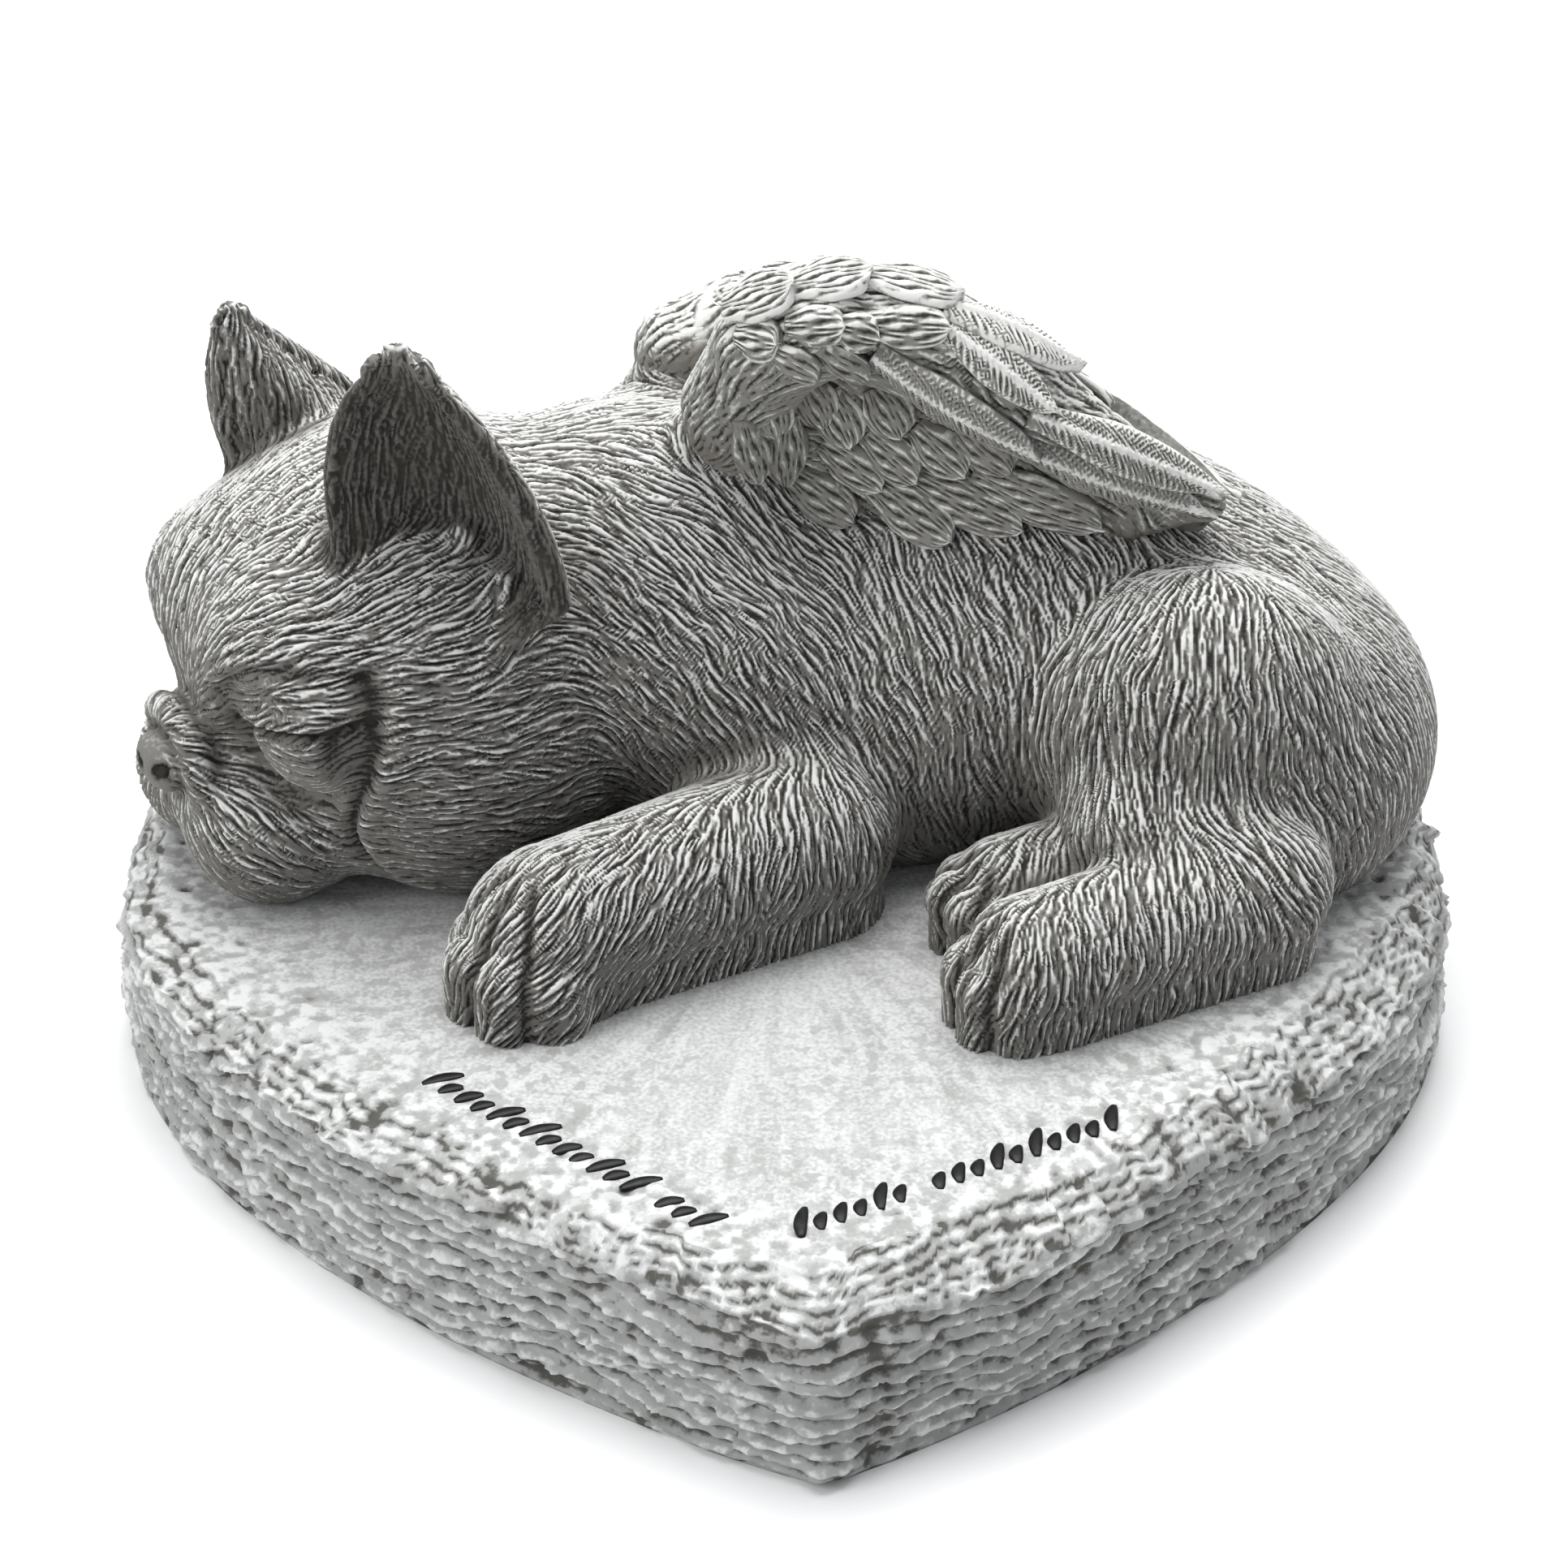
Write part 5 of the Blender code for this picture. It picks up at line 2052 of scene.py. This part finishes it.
def add_node(tree: Tree, kind: str, **settings: object) -> bpy.types.Node:
    """Add a node and set its options."""
    node = tree.nodes.new(kind)
    for label, value in settings.items():
        setattr(node, label, value)
    return node


def ramp(tree: Tree, value: Socket, low: float, high: float) -> Socket:
    """Smoothly spread a value between low and high to 0 and 1."""
    node = add_node(tree, "ShaderNodeMapRange", interpolation_type="SMOOTHSTEP")
    tree.links.new(value, node.inputs["Value"])
    node.inputs["From Min"].default_value = low
    node.inputs["From Max"].default_value = high
    return node.outputs["Result"]


def feed(tree: Tree, slot: Socket, value: Socket | float | tuple[float, ...]) -> None:
    """Link a socket to an input, or set the input to a plain value."""
    if isinstance(value, bpy.types.NodeSocket):
        tree.links.new(value, slot)
    else:
        slot.default_value = value


def calculate(tree: Tree, operation: str, first: Socket | float, second: Socket | float) -> Socket:
    """Join two sockets or numbers by one arithmetic step."""
    node = add_node(tree, "ShaderNodeMath", operation=operation)
    feed(tree, node.inputs[0], first)
    feed(tree, node.inputs[1], second)
    return node.outputs[0]


def product(tree: Tree, first: Socket, *others: Socket | float) -> Socket:
    """Multiply a socket by others or by numbers, one after another."""
    for other in others:
        first = calculate(tree, "MULTIPLY", first, other)
    return first


def blend_colour(tree: Tree, share: Socket, first: Colour, second: Colour) -> Socket:
    """Mix two colours, each a socket or a value, by a share."""
    node = add_node(tree, "ShaderNodeMix", data_type="RGBA")
    for number, value in ((0, share), (6, first), (7, second)):
        feed(tree, node.inputs[number], value)
    return node.outputs[2]


def speckle(tree: Tree, place: Socket, scale: float, detail: float) -> Socket:
    """Noise of the given scale on the piece's own coordinates."""
    node = add_node(tree, "ShaderNodeTexNoise")
    node.inputs["Scale"].default_value = scale
    node.inputs["Detail"].default_value = detail
    tree.links.new(place, node.inputs["Vector"])
    return node.outputs["Fac"]


def new_material(name: str) -> tuple[bpy.types.Material, Tree, bpy.types.Node]:
    """Start a material: itself, its node tree and its shader."""
    material = bpy.data.materials.new(name)
    material.use_nodes = True
    tree = material.node_tree
    return material, tree, tree.nodes["Principled BSDF"]


def roughen(tree: Tree, height: Socket, strength: float, distance: float) -> None:
    """Bump the shader's normal by a height."""
    bump = add_node(tree, "ShaderNodeBump")
    bump.inputs["Strength"].default_value = strength
    bump.inputs["Distance"].default_value = distance
    tree.links.new(height, bump.inputs["Height"])
    tree.links.new(bump.outputs["Normal"], tree.nodes["Principled BSDF"].inputs["Normal"])


def rubbed_group() -> Tree:
    """Node group: dark wash in the hollows, pale paint rubbed on the high places, painted
    shade in closed places and painted light on upward faces.

    Returns:
        A group that gives a colour, a roughness and a height for bump.
    """
    tree = bpy.data.node_groups.new("rubbed_resin", "ShaderNodeTree")
    for way, kind, labels in (
        ("INPUT", "NodeSocketColor", PAINTS),
        ("INPUT", "NodeSocketFloat", AMOUNTS),
        ("OUTPUT", "NodeSocketColor", ("Color",)),
        ("OUTPUT", "NodeSocketFloat", ("Roughness", "Height")),
    ):
        for label in labels:
            tree.interface.new_socket(label, in_out=way, socket_type=kind)
    given = add_node(tree, "NodeGroupInput").outputs
    place = add_node(tree, "ShaderNodeTexCoord").outputs["Object"]
    relief, open_air, upward = (
        add_node(tree, "ShaderNodeAttribute", attribute_name=label).outputs["Fac"]
        for label in ("relief", "open", "upward")
    )
    fine = speckle(tree, place, 1400.0, 3.0)
    broad = speckle(tree, place, 90.0, 3.0)
    jitter = product(tree, calculate(tree, "SUBTRACT", fine, 0.5), given["Grain"])
    height = calculate(tree, "ADD", relief, jitter)
    # Hollow colour where relief is low: the wash in the grooves, and the painted shade that relief
    # carries
    body = blend_colour(tree, ramp(tree, height, 0.04, 0.46), given["Hollow"], given["Body"])
    # Stain and painted shade: a brown wash that darkens the places where little light comes in
    stain_and_shade_at = product(tree, ramp(tree, broad, 0.42, 0.62), ramp(tree, open_air, 0.95, 0.3), 0.35)
    body = blend_colour(tree, stain_and_shade_at, body, given["Stain_and_shade"])
    # Painted light: the pale paint reaches further on upward faces
    sky = ramp(tree, upward, -0.4, 1.0)
    rubbed_and_lit = calculate(tree, "ADD", product(tree, sky, given["Sky"]), height)
    rubbed_and_lit = ramp(tree, rubbed_and_lit, 0.74, 1.16)
    # Painted shade: the pale paint is kept out of closed places
    rubbed_and_lit = product(tree, rubbed_and_lit, ramp(tree, open_air, 0.1, 0.85), given["Paint"])
    patches = ramp(tree, speckle(tree, place, 38.0, 2.0), 0.38, 0.66)
    patches = calculate(tree, "ADD", product(tree, patches, 0.75), 0.25)
    flecks = ramp(tree, speckle(tree, place, 430.0, 4.0), 0.5, 0.6)
    flecks = product(tree, flecks, patches, given["Fleck"])
    rubbed_and_lit = product(tree, rubbed_and_lit, calculate(tree, "SUBTRACT", 1.0, flecks))
    colour = blend_colour(tree, rubbed_and_lit, body, given["Rubbed"])
    final = add_node(tree, "NodeGroupOutput")
    tree.links.new(colour, final.inputs["Color"])
    rough = calculate(tree, "ADD", product(tree, fine, 0.18), 0.66)
    tree.links.new(rough, final.inputs["Roughness"])
    tree.links.new(fine, final.inputs["Height"])
    return tree


@dataclass(frozen=True)
class RubbedResin:
    """Cast resin with a dark wash, pale rubbed paint, painted shade and painted top light."""

    name: str
    hollow: Triple
    body: Triple
    rubbed: Triple
    # Colour of the brown wash and painted shade in closed places
    stain_and_shade: Triple = (0.16, 0.12, 0.08)
    paint: float = 0.8
    grain: float = 0.5
    bump: float = 0.35
    # How much painted light the upward faces get
    sky: float = 0.3
    fleck: float = 0.0

    def make(self, group: Tree) -> bpy.types.Material:
        """Build the material round the shared group.

        Args:
            group: The group that rubbed_group made.

        Returns:
            The material.
        """
        material, tree, shader = new_material(self.name)
        shader.inputs["Specular IOR Level"].default_value = 0.3
        rubbed = add_node(tree, "ShaderNodeGroup", node_tree=group)
        for label in PAINTS:
            rubbed.inputs[label].default_value = (*getattr(self, label.lower()), 1.0)
        for label in AMOUNTS:
            rubbed.inputs[label].default_value = getattr(self, label.lower())
        tree.links.new(rubbed.outputs["Color"], shader.inputs["Base Color"])
        tree.links.new(rubbed.outputs["Roughness"], shader.inputs["Roughness"])
        roughen(tree, rubbed.outputs["Height"], self.bump, 0.00025)
        return material


@dataclass(frozen=True)
class BlackPaint:
    """Black paint with a faint gloss, laid in the strokes."""

    name: str = "black_gloss"
    coat: float = 0.08
    shine: float = 0.25
    bump: float = 0.2

    def make(self) -> bpy.types.Material:
        """Build the material.

        Returns:
            A material with a faint unevenness in its gloss.
        """
        material, tree, shader = new_material(self.name)
        place = add_node(tree, "ShaderNodeTexCoord").outputs["Object"]
        uneven = speckle(tree, place, 600.0, 2.0)
        tree.links.new(ramp(tree, uneven, -1.0, 2.2), shader.inputs["Roughness"])
        shader.inputs["Coat Weight"].default_value = self.coat
        shader.inputs["Specular IOR Level"].default_value = self.shine
        dark, pale = (0.004, 0.004, 0.005, 1.0), (0.02, 0.02, 0.024, 1.0)
        colour = blend_colour(tree, ramp(tree, uneven, 0.5, 0.8), dark, pale)
        tree.links.new(colour, shader.inputs["Base Color"])
        roughen(tree, uneven, self.bump, 0.0003)
        return material


FUR = RubbedResin(
    "fur_resin",
    hollow=(0.02, 0.018, 0.015),
    body=(0.168, 0.163, 0.15),
    rubbed=(0.84, 0.84, 0.82),
    # A dark stain colour, which paints shade in the ear hollows and other closed places
    stain_and_shade=(0.07, 0.062, 0.05),
)
FEATHERED = RubbedResin(
    "feather_resin",
    hollow=(0.035, 0.033, 0.028),
    body=(0.25, 0.245, 0.225),
    rubbed=(0.86, 0.86, 0.83),
    paint=0.9,
    # More painted light on the upward faces of the feathers
    sky=0.5,
)
ROCK = RubbedResin(
    "rock_resin",
    hollow=(0.1, 0.098, 0.088),
    body=(0.38, 0.385, 0.375),
    rubbed=(0.7, 0.705, 0.7),
    paint=1.0,
    grain=0.6,
    fleck=0.75,
)


# Studio

@dataclass(frozen=True)
class SoftLight:
    """A square soft light that faces the statue, in metres and watts."""

    name: str
    place: Triple
    size: float
    power: float

    def hang(self) -> None:
        """Add the light to the scene."""
        data = bpy.data.lights.new(self.name, "AREA")
        data.size = self.size
        data.energy = self.power
        lamp = bpy.data.objects.new(self.name, data)
        lamp.location = self.place
        aim = LIGHT_TARGET - lamp.location
        lamp.rotation_euler = aim.to_track_quat("-Z", "Y").to_euler()
        bpy.context.scene.collection.objects.link(lamp)


LIGHT_TARGET = Vector((0.0, 0.0, 0.05))
LIGHTS = (
    SoftLight("top_light", (-0.05, 0.25, 1.1), 0.9, 14.0),
    SoftLight("left_light", (-1.0, -0.4, 0.7), 0.6, 5.5),
    SoftLight("back_light", (0.4, 0.9, 0.8), 0.8, 5.0),
)
PALE_SKY = (0.95, 0.97, 1.0, 1.0)
SKY_STRENGTH = 0.42
FLOOR_SIZE = 6.0
FLOOR_COLOUR = (0.9, 0.9, 0.9, 1.0)
FLOOR_ROUGHNESS = 0.9


@dataclass(frozen=True)
class PhotoCamera:
    """The camera where the photograph was taken from, in metres and degrees."""

    target: Triple = (0.0, 0.013, 0.045)
    distance: float = 0.6
    elevation: float = 34.0
    focal_pixels: float = 4850.0
    frame_pixels: float = 1932.0
    sensor_width: float = 36.0

    def stand(self) -> None:
        """Add the camera and make it the scene's own."""
        data = bpy.data.cameras.new("camera")
        data.sensor_width = self.sensor_width
        data.lens = self.focal_pixels / self.frame_pixels * self.sensor_width
        data.clip_start = 0.01
        camera = bpy.data.objects.new("camera", data)
        raised = np.radians(self.elevation)
        back = Vector((0.0, -np.cos(raised), np.sin(raised)))
        camera.location = Vector(self.target) + back * self.distance
        camera.rotation_euler = (-back).to_track_quat("-Z", "Y").to_euler()
        bpy.context.scene.collection.objects.link(camera)
        bpy.context.scene.camera = camera


def make_floor() -> None:
    """Lay a large pale floor under the statue."""
    bpy.ops.mesh.primitive_plane_add(size=FLOOR_SIZE, location=(0.0, 0.0, 0.0))
    floor = bpy.context.object
    floor.name = "floor"
    material, _, shader = new_material("pale_floor")
    shader.inputs["Base Color"].default_value = FLOOR_COLOUR
    shader.inputs["Roughness"].default_value = FLOOR_ROUGHNESS
    floor.data.materials.append(material)


def make_studio() -> None:
    """Floor, lights, pale surroundings and camera."""
    make_floor()
    for light in LIGHTS:
        light.hang()
    bpy.context.scene.view_settings.view_transform = "Standard"
    world = bpy.data.worlds.new("studio")
    bpy.context.scene.world = world
    world.use_nodes = True
    surroundings = world.node_tree.nodes["Background"]
    surroundings.inputs["Color"].default_value = PALE_SKY
    surroundings.inputs["Strength"].default_value = SKY_STRENGTH
    PhotoCamera().stand()


def main() -> None:
    """Build every piece, dress it and set up the studio."""
    logging.basicConfig(level=logging.INFO, format="%(message)s")
    make_studio()
    group = rubbed_group()
    fur, feathered, rock = FUR.make(group), FEATHERED.make(group), ROCK.make(group)
    with ThreadPoolExecutor(4) as pool:
        hides = [pool.submit(hide.shell) for hide in HIDES]
        wings = [pool.submit(wing.shells) for wing in WINGS]
        slab = pool.submit(HeartSlab().shell)
    for hide, shell in zip(HIDES, hides):
        piece = make_piece(hide.name, shell.result())
        thin(piece, hide.limit)
        piece.data.materials.append(fur)
    for wing, shells in zip(WINGS, wings):
        for name, shell in shells.result():
            piece = make_piece(name, shell, FEATHER_CREASE)
            thin(piece, wing.limit)
            piece.data.materials.append(feathered)
    make_piece("heart_slab", slab.result()).data.materials.append(rock)
    make_piece("stroke_rows", StrokeRows().shell()).data.materials.append(BlackPaint().make())


if __name__ == "__main__":
    main()
